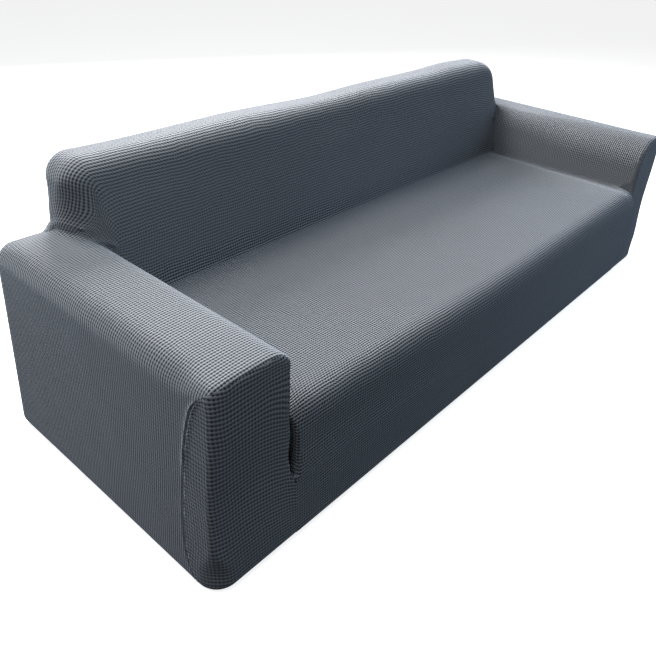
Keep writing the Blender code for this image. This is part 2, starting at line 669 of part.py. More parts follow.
def split(points, quads):
    """Each four-sided face as two triangles, by the diagonal that follows the form better."""
    normals = outward(points[quads].mean(axis=1))
    ways = []
    for order in ((0, 1, 2, 0, 2, 3), (0, 1, 3, 1, 2, 3)):
        halves = quads[:, order].reshape(-1, 2, 3)
        a, b, c = np.moveaxis(points[halves], 2, 0)
        across = np.cross(b - a, c - a)
        across /= np.maximum(np.linalg.norm(across, axis=-1, keepdims=True), 1e-12)
        ways.append((halves, np.sum(across * normals[:, None], axis=-1)))
    facing = np.sign(np.median(ways[0][1]))
    first, second = ((facing * match).min(axis=1) for halves, match in ways)
    chosen = np.where((first >= second)[:, None, None], ways[0][0], ways[1][0]).reshape(-1, 3)
    return [tuple(face) for face in (chosen if facing > 0 else chosen[:, ::-1]).tolist()]


def edge_loop(faces):
    """The open edges of a sheet, each as (from, to), in the faces' own direction."""
    seen = {}
    for face in faces:
        for a, b in zip(face, face[1:] + face[:1]):
            seen[(a, b)] = True
    return [(a, b) for a, b in seen if (b, a) not in seen]


def parted(points, normals, edges):
    """The points with the sheet's edge drawn in by half a seam's gap."""
    inwards = {}
    for a, b in edges:
        along = points[b] - points[a]
        for end in (a, b):
            across = np.cross(normals[end], along)
            inwards.setdefault(end, []).append(across / np.linalg.norm(across))
    moved = points.copy()
    for end, (first, second) in inwards.items():
        moved[end] += (first + second) / (1 + first @ second) * SEAM_GAP / 2
    return moved


def sheet(name, grids, colour):
    """One panel of cloth: the grids' outer face, the same inside it, and the edges between."""
    points, faces = stitched(grids)
    normals = outward(points)
    edges = edge_loop(faces)
    count = len(points)
    rim = []
    for a, b in edges:
        first = tuple(points[a].round(6)) < tuple(points[b].round(6))
        inner_a, inner_b = count + a, count + b
        rim += [(b, a, inner_b), (a, inner_a, inner_b)] if first else [(b, a, inner_a), (b, inner_a, inner_b)]
    points = parted(points, normals, edges)
    inner = [tuple(count + k for k in face[::-1]) for face in faces]
    mesh = bpy.data.meshes.new(name)
    every = np.concatenate([points, points - CLOTH * normals])
    mesh.from_pydata(every.tolist(), [], faces + inner + rim)
    mesh.validate()
    mesh.shade_smooth()
    mesh.set_sharp_from_angle(angle=math.radians(50))
    obj = bpy.data.objects.new(name, mesh)
    bpy.context.scene.collection.objects.link(obj)
    mesh.materials.append(knit(name, colour))
    return obj


def knit(name, colour):
    material = bpy.data.materials.new(name)
    material.use_nodes = True
    shader = material.node_tree.nodes["Principled BSDF"]
    shader.inputs["Base Color"].default_value = (*colour, 1)
    shader.inputs["Roughness"].default_value = 0.9
    shader.inputs["Metallic"].default_value = 0.0
    return material


def main():
    for obj in list(bpy.data.objects):
        bpy.data.objects.remove(obj, do_unlink=True)
    arms = {side: arm_grid(side) for side in (-1, 1)}
    fronts = {side: front_grid(side, arms[side]) for side in (-1, 1)}
    body = main_grid(fronts, arms)
    for side, label in ((-1, "left"), (1, "right")):
        sheet(f"{label}_arm_panel", [arms[side]], SLATE)
        sheet(f"{label}_arm_front", [fronts[side]], SLATE)
    sheet("seat_and_back_panel", [body], SLATE)
    sheet("outer_back_panel", rear_grids(arms, body), SLATE)


main()
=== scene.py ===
"""The look of a fitted stretch cover for a three-seat sofa: each packed panel is redrawn as a fine
sheet of waffle knit, with its seams, pulled creases, tucks and turned hem.

Metres, +Z up, +X along the sofa, the seat's front towards -Y.
"""

import math

import bpy
import numpy as np
from mathutils import Matrix


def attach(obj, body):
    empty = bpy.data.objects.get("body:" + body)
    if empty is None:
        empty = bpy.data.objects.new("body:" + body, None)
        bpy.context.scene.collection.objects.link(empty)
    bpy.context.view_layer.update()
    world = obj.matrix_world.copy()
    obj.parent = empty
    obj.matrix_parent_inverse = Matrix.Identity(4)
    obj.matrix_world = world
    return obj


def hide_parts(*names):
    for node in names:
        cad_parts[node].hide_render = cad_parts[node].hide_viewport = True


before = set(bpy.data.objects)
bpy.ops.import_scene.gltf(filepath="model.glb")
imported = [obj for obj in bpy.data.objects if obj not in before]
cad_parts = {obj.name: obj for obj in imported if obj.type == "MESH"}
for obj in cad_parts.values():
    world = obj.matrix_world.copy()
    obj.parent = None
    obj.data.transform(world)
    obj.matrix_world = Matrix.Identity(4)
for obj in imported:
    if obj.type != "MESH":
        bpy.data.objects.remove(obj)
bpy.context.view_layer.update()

# Where the sofa's two ends differ, -1 is the left one, at -X, and 1 the right one. A SPAN is where
# a change starts and where it is complete, in height or in y unless it says otherwise.

# The whole cover
HEM_HALF = 1.121  # half the length at the hem, where the arms stand widest
ARM_TOP_HALF = 1.087  # half the length at the top of the arms
REAR_Y = 0.3995  # the outer face of the back
ARM_FRONT_AT_HEM = -0.391  # the front faces of the arms, which lean out towards the hem
ARM_FRONT_Y = -0.3745  # and their upper part
ARM_HEIGHT = 0.505
INNER_HALF = 0.887  # from the middle to an arm's inner side
INNER_SLANT = {-1: 0.0, 1: 0.020}  # how much further out it stands at its front
INNER_SLANT_SPAN = (ARM_FRONT_Y, 0.15)
CLOTH = 0.0026  # thickness of the knit
SEAM_GAP = 0.0001  # between two panels' edges
HEM_TURN = 0.042  # how far the hem runs in under the sofa

# Rounded edges
ARM_OUTER_ROUND = 0.045
ARM_OUTER_CRISP = {-1: 0.018, 1: 0.035}  # at the front
ARM_CRISP_SPAN = (0.01, 0.11)  # how far behind the front it turns soft
ARM_INNER_ROUND = {-1: 0.054, 1: 0.092}  # at the front
ARM_REAR_ROUND = 0.055  # and where the back stands on the arms
ARM_RIM_SPAN = (-0.1, 0.16)
FRONT_CORNER_ROUND = 0.055  # the arm's outer front corner, seen from above, at its foot
FRONT_CORNER_CRISP = 0.009  # and above it
FRONT_CRISP_SPAN = (0.05, 0.14)
FRONT_CORNER_SPAN = (0.94, 1.03)  # from the arm's inner corner to it, in x
FRONT_BOW = 0.006  # how far the front stands back at that corner
FRONT_BOW_WIDTH = 0.11
FRONT_LEAN_SPAN = (0.0, 0.28)  # where the front faces lean out
FRONT_TOP_BACK = 0.003  # how far an arm's front leans back again at its top
FRONT_TOP_SPAN = (0.38, ARM_HEIGHT)
FRONT_SEAM_ROUND = 0.014  # the crisp sewn edge over the arm's front
FRONT_SEAM_SPAN = (0.45, 0.49)
INNER_CORNER_ROUND = {-1: 0.03, 1: 0.016}
REAR_ROUND = 0.040  # of the arms and all up to their height
BACK_REAR_ROUND = 0.05  # of the back's top
REAR_ROUND_SPAN = (ARM_HEIGHT - 0.05, ARM_HEIGHT + 0.07)
HEM_ROUND = 0.03
LEAST_ROUND = 0.012

# The seat
SEAT_HEIGHT = 0.347
SEAT_FRONT_ROUND = 0.055
SEAT_CORNER_ROUND = 0.012  # and at its ends
SEAT_END_BACK = 0.026  # how far its front is drawn back towards its left end
SEAT_END_WIDTH = 0.9
SEAT_END_SPAN = (0.02, 0.14)
SEAT_OVER = 0.007  # how far the seat's front reaches beyond the arms' inner sides
SEAT_INTO_ARM = 0.12  # how much further the seat runs on inside the arms
SEAT_INTO_ARM_SPAN = (ARM_FRONT_Y, ARM_FRONT_Y + 0.04)
SEAT_FRONT_AT_HEM = -0.392
SEAT_FRONT_AT_TOP = -0.3995
SEAT_DIP = 0.010  # how much lower the seat is along the arms
SEAT_DIP_WIDTH = 0.07
SEAT_CREASE_Y = 0.203  # where the seat meets the back
SEAT_UNDER_BACK = 0.08  # how far the seat runs on behind that line
BELOW_SEAT = 0.1  # how far the back runs on below the seat's top
WELL_INTO_BACK = 0.02  # how far the space between the arms runs on into the back

# The back
BACK_HEIGHT = 0.686
BACK_FACE_TOP_Y = 0.262
BACK_HALF = 0.946
BACK_FLARE = 0.008  # how much wider the back is where it stands on the arms
BACK_FLARE_SPAN = (0.52, 0.62)
BACK_BASE_ROUND = 0.098  # the back's front corners where they stand on the arms
BACK_CORNER_ROUND = 0.05  # and higher up
BACK_CORNER_SPAN = (0.56, 0.67)
BACK_TOP_ROUND = {-1: 0.062, 1: 0.15}

# How softly the cloth runs through the inside corners
SEAT_FILLET = 0.012
SEAT_FILLET_LOW = 0.03  # below the tuck, where an arm's front runs on into the seat's
SEAT_FILLET_SPAN = (0.17, 0.22)
SEAT_FILLET_FOOT = (0.04, 0.12)
BACK_FILLET = 0.016
END_FILLET = 0.022
END_FILLET_SPAN = (BACK_HALF - 0.06, BACK_HALF)  # in x
BACK_FILLET_END = (REAR_Y - 0.05, REAR_Y - 0.01)

# The tuck between an arm's front and the seat's front
SLIT_HALF_WIDTH = 0.012
SLIT_HEAD_SHARE = 0.55  # of that width, near its head
SLIT_NARROW_SPAN = (0.24, 0.32)
SLIT_DEPTH = 0.045
SLIT_FOOT = 0.185
SLIT_FOOT_SPAN = (SLIT_FOOT - 0.03, SLIT_FOOT + 0.03)
SLIT_DEPTH_SPAN = (SLIT_FOOT - 0.02, SLIT_FOOT + 0.03)
SLIT_HEAD = 0.33
SLIT_HEAD_SPAN = (SLIT_HEAD, SLIT_HEAD + 0.05)
SLIT_FILLET = 0.006
SLIT_FILLET_SPAN = (0.1, 0.2)
LEAST_WIDTH = 1e-4

# Low swells of the stretched cloth
ARM_CROWN = 0.009
ARM_CROWN_POWER = 0.6  # under 1, so it rises fast at its edges
ARM_CROWN_END = (REAR_Y - 0.09, REAR_Y - 0.02)
SEAT_SWELL = 0.004
SIDE_DRAW = 0.004
HALF_WAVE_X, HALF_WAVE_Y = 2.1, 0.8
BACK_WAVES = (  # along the top front edge of the back: at x, width, height
    (-0.75, 0.15, -0.003), (-0.42, 0.10, 0.002), (-0.08, 0.16, -0.006), (0.65, 0.12, 0.005),
)

PROBE = 0.0002  # step for the form's slope
SETTLE_STEPS = 14
SETTLE_STEP = 0.8  # share of the distance moved in a step
SETTLE_REACH = 0.01  # and its limit
WELD = 1e-6  # points this close are one


def mix(a, b, t):
    return a + (b - a) * t


def ramp(low, high, value):
    """0 below low, 1 above high, smooth between."""
    t = np.clip((value - low) / (high - low), 0.0, 1.0)
    return t * t * (3.0 - 2.0 * t)


def rounded(first, second, radius):
    """The intersection of two half spaces, given as distances, with a rounded edge."""
    a = first + radius
    b = second + radius
    outside = np.hypot(np.maximum(a, 0.0), np.maximum(b, 0.0))
    return outside + np.minimum(np.maximum(a, b), 0.0) - radius


def joined(first, second, fillet):
    """The union of two distances, with a fillet along the inside corner."""
    fillet = np.maximum(fillet, 1e-6)
    share = np.maximum(fillet - np.abs(first - second), 0.0) / fillet
    return np.minimum(first, second) - share * share * fillet / 4.0


def within(first, last, value):
    """1 between two spans, 0 outside them."""
    return ramp(*first, value) * (1 - ramp(*last, value))


def by_side(values, x):
    return np.where(x < 0.0, values[-1], values[1])


def arm_top_round(x, y):
    """The rounding along the top outer edge of an arm, which is crisp at the front."""
    soft = ramp(*ARM_CRISP_SPAN, y - ARM_FRONT_Y)
    return mix(by_side(ARM_OUTER_CRISP, x), ARM_OUTER_ROUND, soft)


def inner_half(x, y):
    """From the middle to an arm's inner side."""
    return INNER_HALF + by_side(INNER_SLANT, x) * (1 - ramp(*INNER_SLANT_SPAN, y))


def arm_rim(side_radius, y):
    """The rounding along the top inner edge of an arm."""
    return mix(side_radius, ARM_REAR_ROUND, ramp(*ARM_RIM_SPAN, y))


def arm_front_y(z):
    lean = mix(ARM_FRONT_AT_HEM, ARM_FRONT_Y, ramp(*FRONT_LEAN_SPAN, z))
    return lean + FRONT_TOP_BACK * ramp(*FRONT_TOP_SPAN, z)


def crisp_share(z):
    """1 where the arm's outer front corner is crisp, 0 at its foot."""
    return ramp(*FRONT_CRISP_SPAN, z)


def front_corner_round(z):
    return mix(FRONT_CORNER_ROUND, FRONT_CORNER_CRISP, crisp_share(z))


def front_bow(outer, z):
    """How far an arm's front stands back, so far inside its outer side."""
    return FRONT_BOW * crisp_share(z) * np.clip(1 + outer / FRONT_BOW_WIDTH, 0.0, 1.0) ** 2


def arm_crown(x, y):
    """How much higher an arm's top stands than its edges."""
    across = np.clip((np.abs(x) - INNER_HALF) / (ARM_TOP_HALF - INNER_HALF), 0.0, 1.0)
    rise = np.sin(np.pi * across) ** ARM_CROWN_POWER
    return ARM_CROWN * rise * (1 - ramp(*ARM_CROWN_END, y))


def seat_front_y(z):
    return mix(SEAT_FRONT_AT_HEM, SEAT_FRONT_AT_TOP, ramp(*FRONT_LEAN_SPAN, z))


def rear_round(z):
    return mix(REAR_ROUND, BACK_REAR_ROUND, ramp(*REAR_ROUND_SPAN, z))


def arms_block(x, y, z):
    """The two arms and all between them, up to the height of the arms."""
    inner = -well(x, y, z)
    outer = np.abs(x) - mix(HEM_HALF, ARM_TOP_HALF, z / ARM_HEIGHT)
    front = arm_front_y(z) + front_bow(outer, z) - y
    corner = by_side(INNER_CORNER_ROUND, x)
    # Above, an arm's top is rounded towards its sides first, then all of it towards its front
    top = z - ARM_HEIGHT - arm_crown(x, y)
    rim = arm_rim(by_side(ARM_INNER_ROUND, x), y)
    over = rounded(rounded(outer, top, arm_top_round(x, y)), inner, rim)
    edge = mix(corner, front_corner_round(z), ramp(*FRONT_CORNER_SPAN, np.abs(x)))
    high = rounded(over, front, mix(edge, FRONT_SEAM_ROUND, ramp(*FRONT_SEAM_SPAN, z)))
    # Below, the plan is rounded first, then its foot
    plan = rounded(outer, front, front_corner_round(z))
    low = rounded(rounded(plan, -z, HEM_ROUND), inner, corner)
    return rounded(np.where(z > ARM_HEIGHT / 2, high, low), y - REAR_Y, rear_round(z))


def back_face_y(z):
    return mix(SEAT_CREASE_Y, BACK_FACE_TOP_Y, (z - SEAT_HEIGHT) / (BACK_HEIGHT - SEAT_HEIGHT))


def well(x, y, z):
    """The space between the arms, over the seat: negative inside it."""
    sides = np.abs(x) - inner_half(x, y)
    below = np.maximum(sides, SEAT_HEIGHT - BELOW_SEAT - z)
    return np.maximum(below, y - back_face_y(z) - WELL_INTO_BACK)


def seat_end_back(x, z):
    """How far the seat's front is drawn back."""
    near = ramp(INNER_HALF - SEAT_END_WIDTH, INNER_HALF, -x)
    return SEAT_END_BACK * near * ramp(*SEAT_END_SPAN, z)


def seat_block(x, y, z):
    near_arm = ramp(INNER_HALF - SEAT_DIP_WIDTH, INNER_HALF, np.abs(x))
    top = z - (SEAT_HEIGHT - SEAT_DIP * near_arm)
    high = z > SEAT_HEIGHT / 2
    edge = np.where(high, SEAT_FRONT_ROUND, HEM_ROUND)
    front = seat_front_y(z) + seat_end_back(x, z) - y
    section = rounded(front, np.where(high, top, -z), edge)
    into_arm = SEAT_INTO_ARM * ramp(*SEAT_INTO_ARM_SPAN, y)
    ends = np.abs(x) - inner_half(x, y) - SEAT_OVER - into_arm
    block = rounded(section, ends, SEAT_CORNER_ROUND)
    return np.maximum(block, y - SEAT_CREASE_Y - SEAT_UNDER_BACK)


def back_block(x, y, z):
    ends = np.abs(x) - BACK_HALF - BACK_FLARE * (1 - ramp(*BACK_FLARE_SPAN, z))
    section = rounded(ends, z - BACK_HEIGHT, by_side(BACK_TOP_ROUND, x))
    corner = mix(BACK_BASE_ROUND, BACK_CORNER_ROUND, ramp(*BACK_CORNER_SPAN, z))
    front = rounded(section, back_face_y(z) - y, corner)
    return np.maximum(rounded(front, y - REAR_Y, rear_round(z)), SEAT_HEIGHT - BELOW_SEAT - z)


def slit(x, y, z):
    """The dark tuck between an arm's front and the seat's front: negative inside it."""
    window = within(SLIT_FOOT_SPAN, SLIT_HEAD_SPAN, z)
    width = SLIT_HALF_WIDTH * mix(1.0, SLIT_HEAD_SHARE, ramp(*SLIT_NARROW_SPAN, z)) * window
    across = (np.abs(x) - inner_half(x, y)) / np.maximum(width, LEAST_WIDTH)
    inwards = (y - ARM_FRONT_Y) / np.maximum(SLIT_DEPTH * window, LEAST_WIDTH)
    return (np.hypot(across, inwards) - 1.0) * SLIT_HALF_WIDTH


def relief(x, y, z):
    """Low swells of the stretched cloth, in metres outwards."""
    end = np.abs(x)
    wave_y = np.cos(np.pi * y / HALF_WAVE_Y)
    on_seat = within((0.30, 0.33), (0.36, 0.40), z) * (1 - ramp(0.80, 0.88, end))
    seat = SEAT_SWELL * on_seat * wave_y * np.cos(np.pi * x / HALF_WAVE_X)
    on_rear = ramp(0.36, 0.395, y) * (1 - ramp(0.63, 0.68, z))
    on_back = ramp(0.56, 0.64, z) * (1 - ramp(0.86, 0.94, end)) * (1 - on_rear)
    wave = sum(size * np.exp(-(((x - at) / wide) ** 2)) for at, wide, size in BACK_WAVES)
    on_side = ramp(1.0, 1.06, end) * np.sin(np.pi * np.clip(z / ARM_HEIGHT, 0, 1))
    return seat + on_back * wave - SIDE_DRAW * on_side * wave_y


def form(points):
    """Distance from the skin of the covered sofa, negative inside."""
    x, y, z = np.moveaxis(np.asarray(points, float), -1, 0)
    arms = arms_block(x, y, z)
    fillet = mix(SEAT_FILLET_LOW, SEAT_FILLET, ramp(*SEAT_FILLET_SPAN, z))
    fillet = ramp(*SEAT_FILLET_FOOT, z) * fillet
    seat = joined(arms, seat_block(x, y, z), fillet)
    seat = -joined(-seat, slit(x, y, z), SLIT_FILLET * ramp(*SLIT_FILLET_SPAN, z))
    fillet = mix(BACK_FILLET, END_FILLET, ramp(*END_FILLET_SPAN, np.abs(x)))
    fillet *= 1 - ramp(*BACK_FILLET_END, y)
    whole = joined(seat, back_block(x, y, z), fillet)
    return whole - relief(x, y, z)


def outward(points):
    """Unit normals of the form."""
    slope = np.empty_like(points)
    for axis in range(3):
        step = np.zeros(3)
        step[axis] = PROBE
        slope[..., axis] = form(points + step) - form(points - step)
    return slope / np.maximum(np.linalg.norm(slope, axis=-1, keepdims=True), 1e-12)


def settled(points):
    """The points moved onto the form."""
    points = np.array(points, float)
    for _ in range(SETTLE_STEPS):
        distance = np.clip(form(points), -SETTLE_REACH, SETTLE_REACH)
        points -= SETTLE_STEP * distance[..., None] * outward(points)
    return points


# Grid lines. An arm's lines run along it and are numbered from its hem, up the outer side, over
# the top and down to the seat. The crease, where the back stands on an arm, ends some of them.
HEM_LINES = (  # inset from the wall, height
    (HEM_TURN, 0.0), (HEM_ROUND, 0.0), (0.29 * HEM_ROUND, 0.29 * HEM_ROUND), (0.0, HEM_ROUND),
)
SIDE_LEVELS = (0.07, 0.12, 0.165, 0.20, 0.24, 0.285, 0.335, 0.38, 0.42, 0.455)
LEVELS = HEM_LINES + tuple((0.0, height) for height in SIDE_LEVELS)
SEAM_ON_SIDE = (  # the seam round an arm's front, on the outer side: height, y
    (0.00, -0.330), (0.03, -0.322), (0.06, -0.305), (0.10, -0.294), (0.16, -0.289),
    (0.25, -0.290), (0.35, -0.297), (0.41, -0.306), (0.455, -0.320),
)
TOP_SEAM = (  # over the outer front corner: from the middle, behind the front, height
    (1.0880, 0.034, 0.4800), (1.0865, 0.025, 0.4910), (1.0840, 0.015, 0.5000),
    (1.0780, 0.006, 0.5060), (1.0580, 0.004, 0.5090),
)
CREASE = (  # from the back's corner to the rear: from the middle, y, drop from the top
    (0.922, 0.232, 0.0), (0.926, 0.252, 0.0), (0.931, 0.274, 0.0), (0.937, 0.296, 0.0),
    (0.945, 0.316, 0.0), (0.955, 0.335, 0.0), (0.966, 0.351, 0.001), (0.978, 0.366, 0.004),
    (0.985, 0.380, 0.010), (0.988, 0.3928, 0.025),
)
INNER_SEAM = (0.003, 0.020, 0.028)  # how far behind the front the seam runs down the inner edge
OUTER_ROUND_STEPS = 4
INNER_ROUND_STEPS = 3
INNER_SIDE_STEPS = 3
OUTER_TOP_LINES = 2  # lines on an arm's top between its outer edge and the crease's rear end
SIDE_TOP = len(LEVELS) - 1
OUTER_TOP = SIDE_TOP + OUTER_ROUND_STEPS
CREASE_REAR = OUTER_TOP + OUTER_TOP_LINES
CREASE_FRONT = CREASE_REAR + len(CREASE) - 1
INNER_TOP = CREASE_FRONT + INNER_ROUND_STEPS
SEAT_LINE = INNER_TOP + INNER_SIDE_STEPS
TUCK_FOOT = 0.30  # where an arm's cloth, its front's and the seat's meet in the tuck

REAR_WRAP = math.radians(60)  # how far an arm's cloth and the back's run round the rear edges
# How far along a line its points lie, and where along an arm's line it leaves and meets its ends
LATE_SPAN, EARLY_SPAN = (0.3, 1.0), (0.0, 0.25)
CREASE_DROP_SPAN, SEAT_RISE_SPAN = (0.85, 1.0), (0.0, 0.05)
ALONG_ARM = (0, 0.05, 0.12, 0.20, 0.29, 0.39, 0.50, 0.62, 0.73, 0.83, 0.93, 0.965, 1)
ALONG_SEAT = (0, 0.022, 0.05, 0.085, 0.13, 0.20, 0.29, 0.39, 0.50, 0.62, 0.74, 0.87, 1)
# Across an arm's front its corner is at 1
ROUND_FRONT = (0, 0.36, 0.72, 1, 1.08, 1.19, 1.31, 1.43, 1.55, 1.67, 1.78, 1.89, 2)
FRONT_EDGE_WIDTH = 0.040  # how far from the inner side its last columns start
TUCK_EDGE = (  # these in the tuck: from the arm's inner side, share of the tuck's depth
    (0.022, 0.0), (0.0125, 0.08), (0.0075, 0.45), (0.0, 1.0),
)
FRONT_EDGE = (  # and above it: inwards and back, in shares of the corner's rounding
    (1.0, 0.0), (0.5, 0.13), (0.13, 0.5), (0.0, 0.93),
)
FRONT_EDGE_SPAN = (TUCK_FOOT, 0.36)
TOP_SEAM_CORNER = SIDE_TOP + 1  # the arm's line that meets the front panel's top outer corner
FRONT_END = TOP_SEAM_CORNER + len(ROUND_FRONT) + len(FRONT_EDGE) - 1  # and its top inner corner
MAIN_ENDS = (0.0, 0.012, 0.030, 0.055, 0.088, 0.125, 0.165, 0.210)  # columns from an arm
END_FACE = ((0.4, 0.45), (0.72, 0.15))  # up the back's end: height, share of the crease's y
CORNER_COLUMNS = 4  # and round its top corner
LEAST_TOP_ROUND = 0.02
MIDDLE_STEPS = 18
MIDDLE = len(MAIN_ENDS) + MIDDLE_STEPS // 2 - 1  # the main panel's middle column
SEAT_LEVELS = 6  # of the side's levels, the ones below the seat's rounded front edge
SEAT_ROUND_STEPS = 5
SEAT_ROW = len(HEM_LINES) + SEAT_LEVELS  # the main panel's row where it meets an arm's cloth
CREASE_ROW = SEAT_ROW + len(ALONG_SEAT) - 1  # and its row in the line between seat and back
FRONT_PULL = (1, 0.5)  # how far the end columns follow a row's end, on the front and the seat
SEAT_PULL = (1, 0.9, 0.8, 0.6, 0.4, 0.25, 0.1)
BACK_LEVELS = (0.385, 0.425, 0.465, 0.50, 0.535, 0.57, 0.605, 0.636)
STRAIGHT_LEVELS = 3  # of those, the ones that run straight from arm to arm
BACK_ROUND_STEPS = 3
BACK_TOP_PART = (0.5, 1.0)  # rows on the back's top between its two rounded edges
REAR_UPPER_STEPS = 5
REAR_ON_ARM = CREASE_REAR - TOP_SEAM_CORNER - 1  # the lower rear's columns behind an arm's top


def outer_at(height):
    return mix(HEM_HALF, ARM_TOP_HALF, height / ARM_HEIGHT)


def arm_profile(side):
    """An arm's lines: from the middle, height, outward direction (two numbers), hem inset."""
    rows = [(outer_at(height) - inset, height, 1, 0, inset) for inset, height in LEVELS]
    for step in range(1, OUTER_ROUND_STEPS + 1):
        angle = step * math.pi / 2 / OUTER_ROUND_STEPS
        across = ARM_TOP_HALF - ARM_OUTER_ROUND * (1 - math.cos(angle))
        height = ARM_HEIGHT - ARM_OUTER_ROUND * (1 - math.sin(angle))
        rows.append((across, height, math.cos(angle), math.sin(angle), 0))
    inner = ARM_INNER_ROUND[side]
    steps = CREASE_FRONT - OUTER_TOP
    for step in range(1, steps + 1):
        last = inner_half(side, ARM_FRONT_Y) + inner
        across = mix(ARM_TOP_HALF - ARM_OUTER_ROUND, last, step / steps)
        rows.append((across, ARM_HEIGHT, 0, 1, 0))
    for line in range(CREASE_FRONT + 1, SEAT_LINE + 1):
        rows.append((*inner_line(side, line, inner, ARM_FRONT_Y), 0, 1, 0))
    return rows


def inner_line(side, line, radius, y):
    """From the middle and height of a line over an arm's inner edge and down its inner side."""
    angle = min(line - CREASE_FRONT, INNER_ROUND_STEPS) * math.pi / 2 / INNER_ROUND_STEPS
    down = max(line - INNER_TOP, 0) / INNER_SIDE_STEPS
    across = inner_half(side, y) + radius * (1 - math.sin(angle))
    height = ARM_HEIGHT - radius * (1 - math.cos(angle))
    return across, mix(height, TUCK_FOOT, down)


def front_seam(side, line, row):
    """Where the seam round the arm's front crosses a line: from the middle, y, height."""
    if line <= SIDE_TOP:
        return row[0], np.interp(row[1], *np.transpose(SEAM_ON_SIDE)), row[1]
    turn = line - TOP_SEAM_CORNER
    if turn < len(TOP_SEAM):
        across, behind, height = TOP_SEAM[turn]
        return across, arm_front_y(height) + behind, height
    if line <= CREASE_FRONT:
        last = TOP_SEAM_CORNER + len(TOP_SEAM) - 1
        part = (line - last) / (CREASE_FRONT - last)
        inner = inner_half(side, ARM_FRONT_Y) + ARM_INNER_ROUND[side]
        across = mix(TOP_SEAM[-1][0], inner, part)
        height = TOP_SEAM[-1][2]
        return across, arm_front_y(height) + INNER_SEAM[0], height
    inwards = np.interp(line, (CREASE_FRONT, INNER_TOP, SEAT_LINE), INNER_SEAM)
    return row[0], arm_front_y(row[1]) + inwards, row[1]


def round_the_rear(start, row, part):
    """A point of an arm's line that runs on round the rear edge: from the middle, y, height."""
    across, height, out_across, out_up, inset = row
    radius = max(REAR_ROUND - inset, LEAST_ROUND)
    straight = REAR_Y - inset - radius - start
    length = part * (straight + radius * REAR_WRAP)
    angle = max(length - straight, 0) / radius
    shift = radius * (1 - math.cos(angle))
    y = start + min(length, straight) + radius * math.sin(angle)
    return across - out_across * shift, y, height - out_up * shift


def arm_point(side, line, row, start, part):
    """A point of an arm's line: part runs from 0 at the front seam to 1 at the line's end."""
    across, y, z = round_the_rear(start, row, part)
    late = ramp(*LATE_SPAN, part)
    if OUTER_TOP < line <= CREASE_REAR:
        first = ARM_TOP_HALF - ARM_OUTER_ROUND
        end = mix(first, CREASE[-1][0], (line - OUTER_TOP) / OUTER_TOP_LINES)
        return mix(across, end, late), y, z
    if CREASE_REAR < line <= CREASE_FRONT:
        end, end_y, drop = CREASE[CREASE_FRONT - line]
        z = row[1] - drop * ramp(*CREASE_DROP_SPAN, part)
        return mix(row[0], end, late), mix(start, end_y, part), z
    if line > CREASE_FRONT:
        y = mix(start, back_face_y(row[1]), part)
        across, z = inner_line(side, line, arm_rim(ARM_INNER_ROUND[side], y), y)
        lift = SEAT_HEIGHT - SEAT_DIP - TUCK_FOOT
        z += lift * ramp(*SEAT_RISE_SPAN, part) * ramp(INNER_TOP, SEAT_LINE, line)
        return across, mix(start, back_face_y(z), part), z
    return across, y, z


def arm_grid(side):
    """Points [line, step], from the front seam to the rear edge, the crease or the back."""
    grid = np.zeros((SEAT_LINE + 1, len(ALONG_ARM), 3))
    for line, row in enumerate(arm_profile(side)):
        seam = front_seam(side, line, row)
        first = arm_point(side, line, row, seam[1], 0.0)
        seat_share = ramp(CREASE_FRONT, SEAT_LINE, line)
        for step, parts in enumerate(zip(ALONG_ARM, ALONG_SEAT)):
            part = mix(*parts, seat_share)
            early = 1 - ramp(*EARLY_SPAN, part)
            point = arm_point(side, line, row, seam[1], part)
            grid[line, step] = [a + early * (b - c) for a, b, c in zip(point, seam, first)]
    grid[:, :, 0] *= side
    return settled(grid)


def plan_round_front(height, inset, length):
    """A point of the front panel's contour seen from above, from the front corner's start."""
    corner = front_corner_round(height)
    radius = corner - inset
    middle_across = outer_at(height) - corner
    middle_y = arm_front_y(height) + corner
    arc = radius * math.pi / 2
    angle = min(max(length / radius, 0), math.pi / 2)
    across = middle_across + radius * math.cos(angle) - max(length - arc, 0)
    y = middle_y - radius * math.sin(angle) + max(-length, 0)
    return across, y


def slit_depth(height):
    return SLIT_DEPTH * ramp(*SLIT_DEPTH_SPAN, height)


def front_grid(side, arm):
    """The arm's front panel, points [row, column]: rows from the hem up, columns inwards."""
    grid = np.zeros((len(LEVELS) + 1, len(ROUND_FRONT) + len(FRONT_EDGE), 3))
    for row, (inset, height) in enumerate(LEVELS):
        seam_y = arm[row, 0, 1]
        front_y = arm_front_y(height)
        corner = front_corner_round(height)
        corner_y = front_y + corner
        reach = min(max((corner_y - seam_y) / corner, 0), 1)
        radius = corner - inset
        first = math.asin(reach) * radius if seam_y < corner_y else corner_y - seam_y
        arc = radius * math.pi / 2
        inner = inner_half(side, ARM_FRONT_Y)
        last = arc + outer_at(height) - corner - inner - FRONT_EDGE_WIDTH
        for column, part in enumerate(ROUND_FRONT):
            length = mix(first, arc / 2, part) if part < 1 else mix(arc / 2, last, part - 1)
            across, y = plan_round_front(height, inset, length)
            grid[row, column] = side * across, y, height
        depth = slit_depth(height)
        above = ramp(*FRONT_EDGE_SPAN, height)
        turn = INNER_CORNER_ROUND[side]
        for column, (low, high) in enumerate(zip(TUCK_EDGE, FRONT_EDGE), len(ROUND_FRONT)):
            across = inner + mix(low[0], high[0] * turn, above)
            y = front_y + inset + mix(low[1] * depth, high[1] * turn, above)
            grid[row, column] = side * across, y, height
    grid = settled(grid)
    grid[:-1, 0] = arm[: len(LEVELS), 0]
    grid[-1] = arm[TOP_SEAM_CORNER : FRONT_END + 1, 0]
    above = SEAT_LINE - FRONT_END
    grid[-1 - above :, -1] = arm[SEAT_LINE - above : SEAT_LINE + 1, 0][::-1]
    return grid


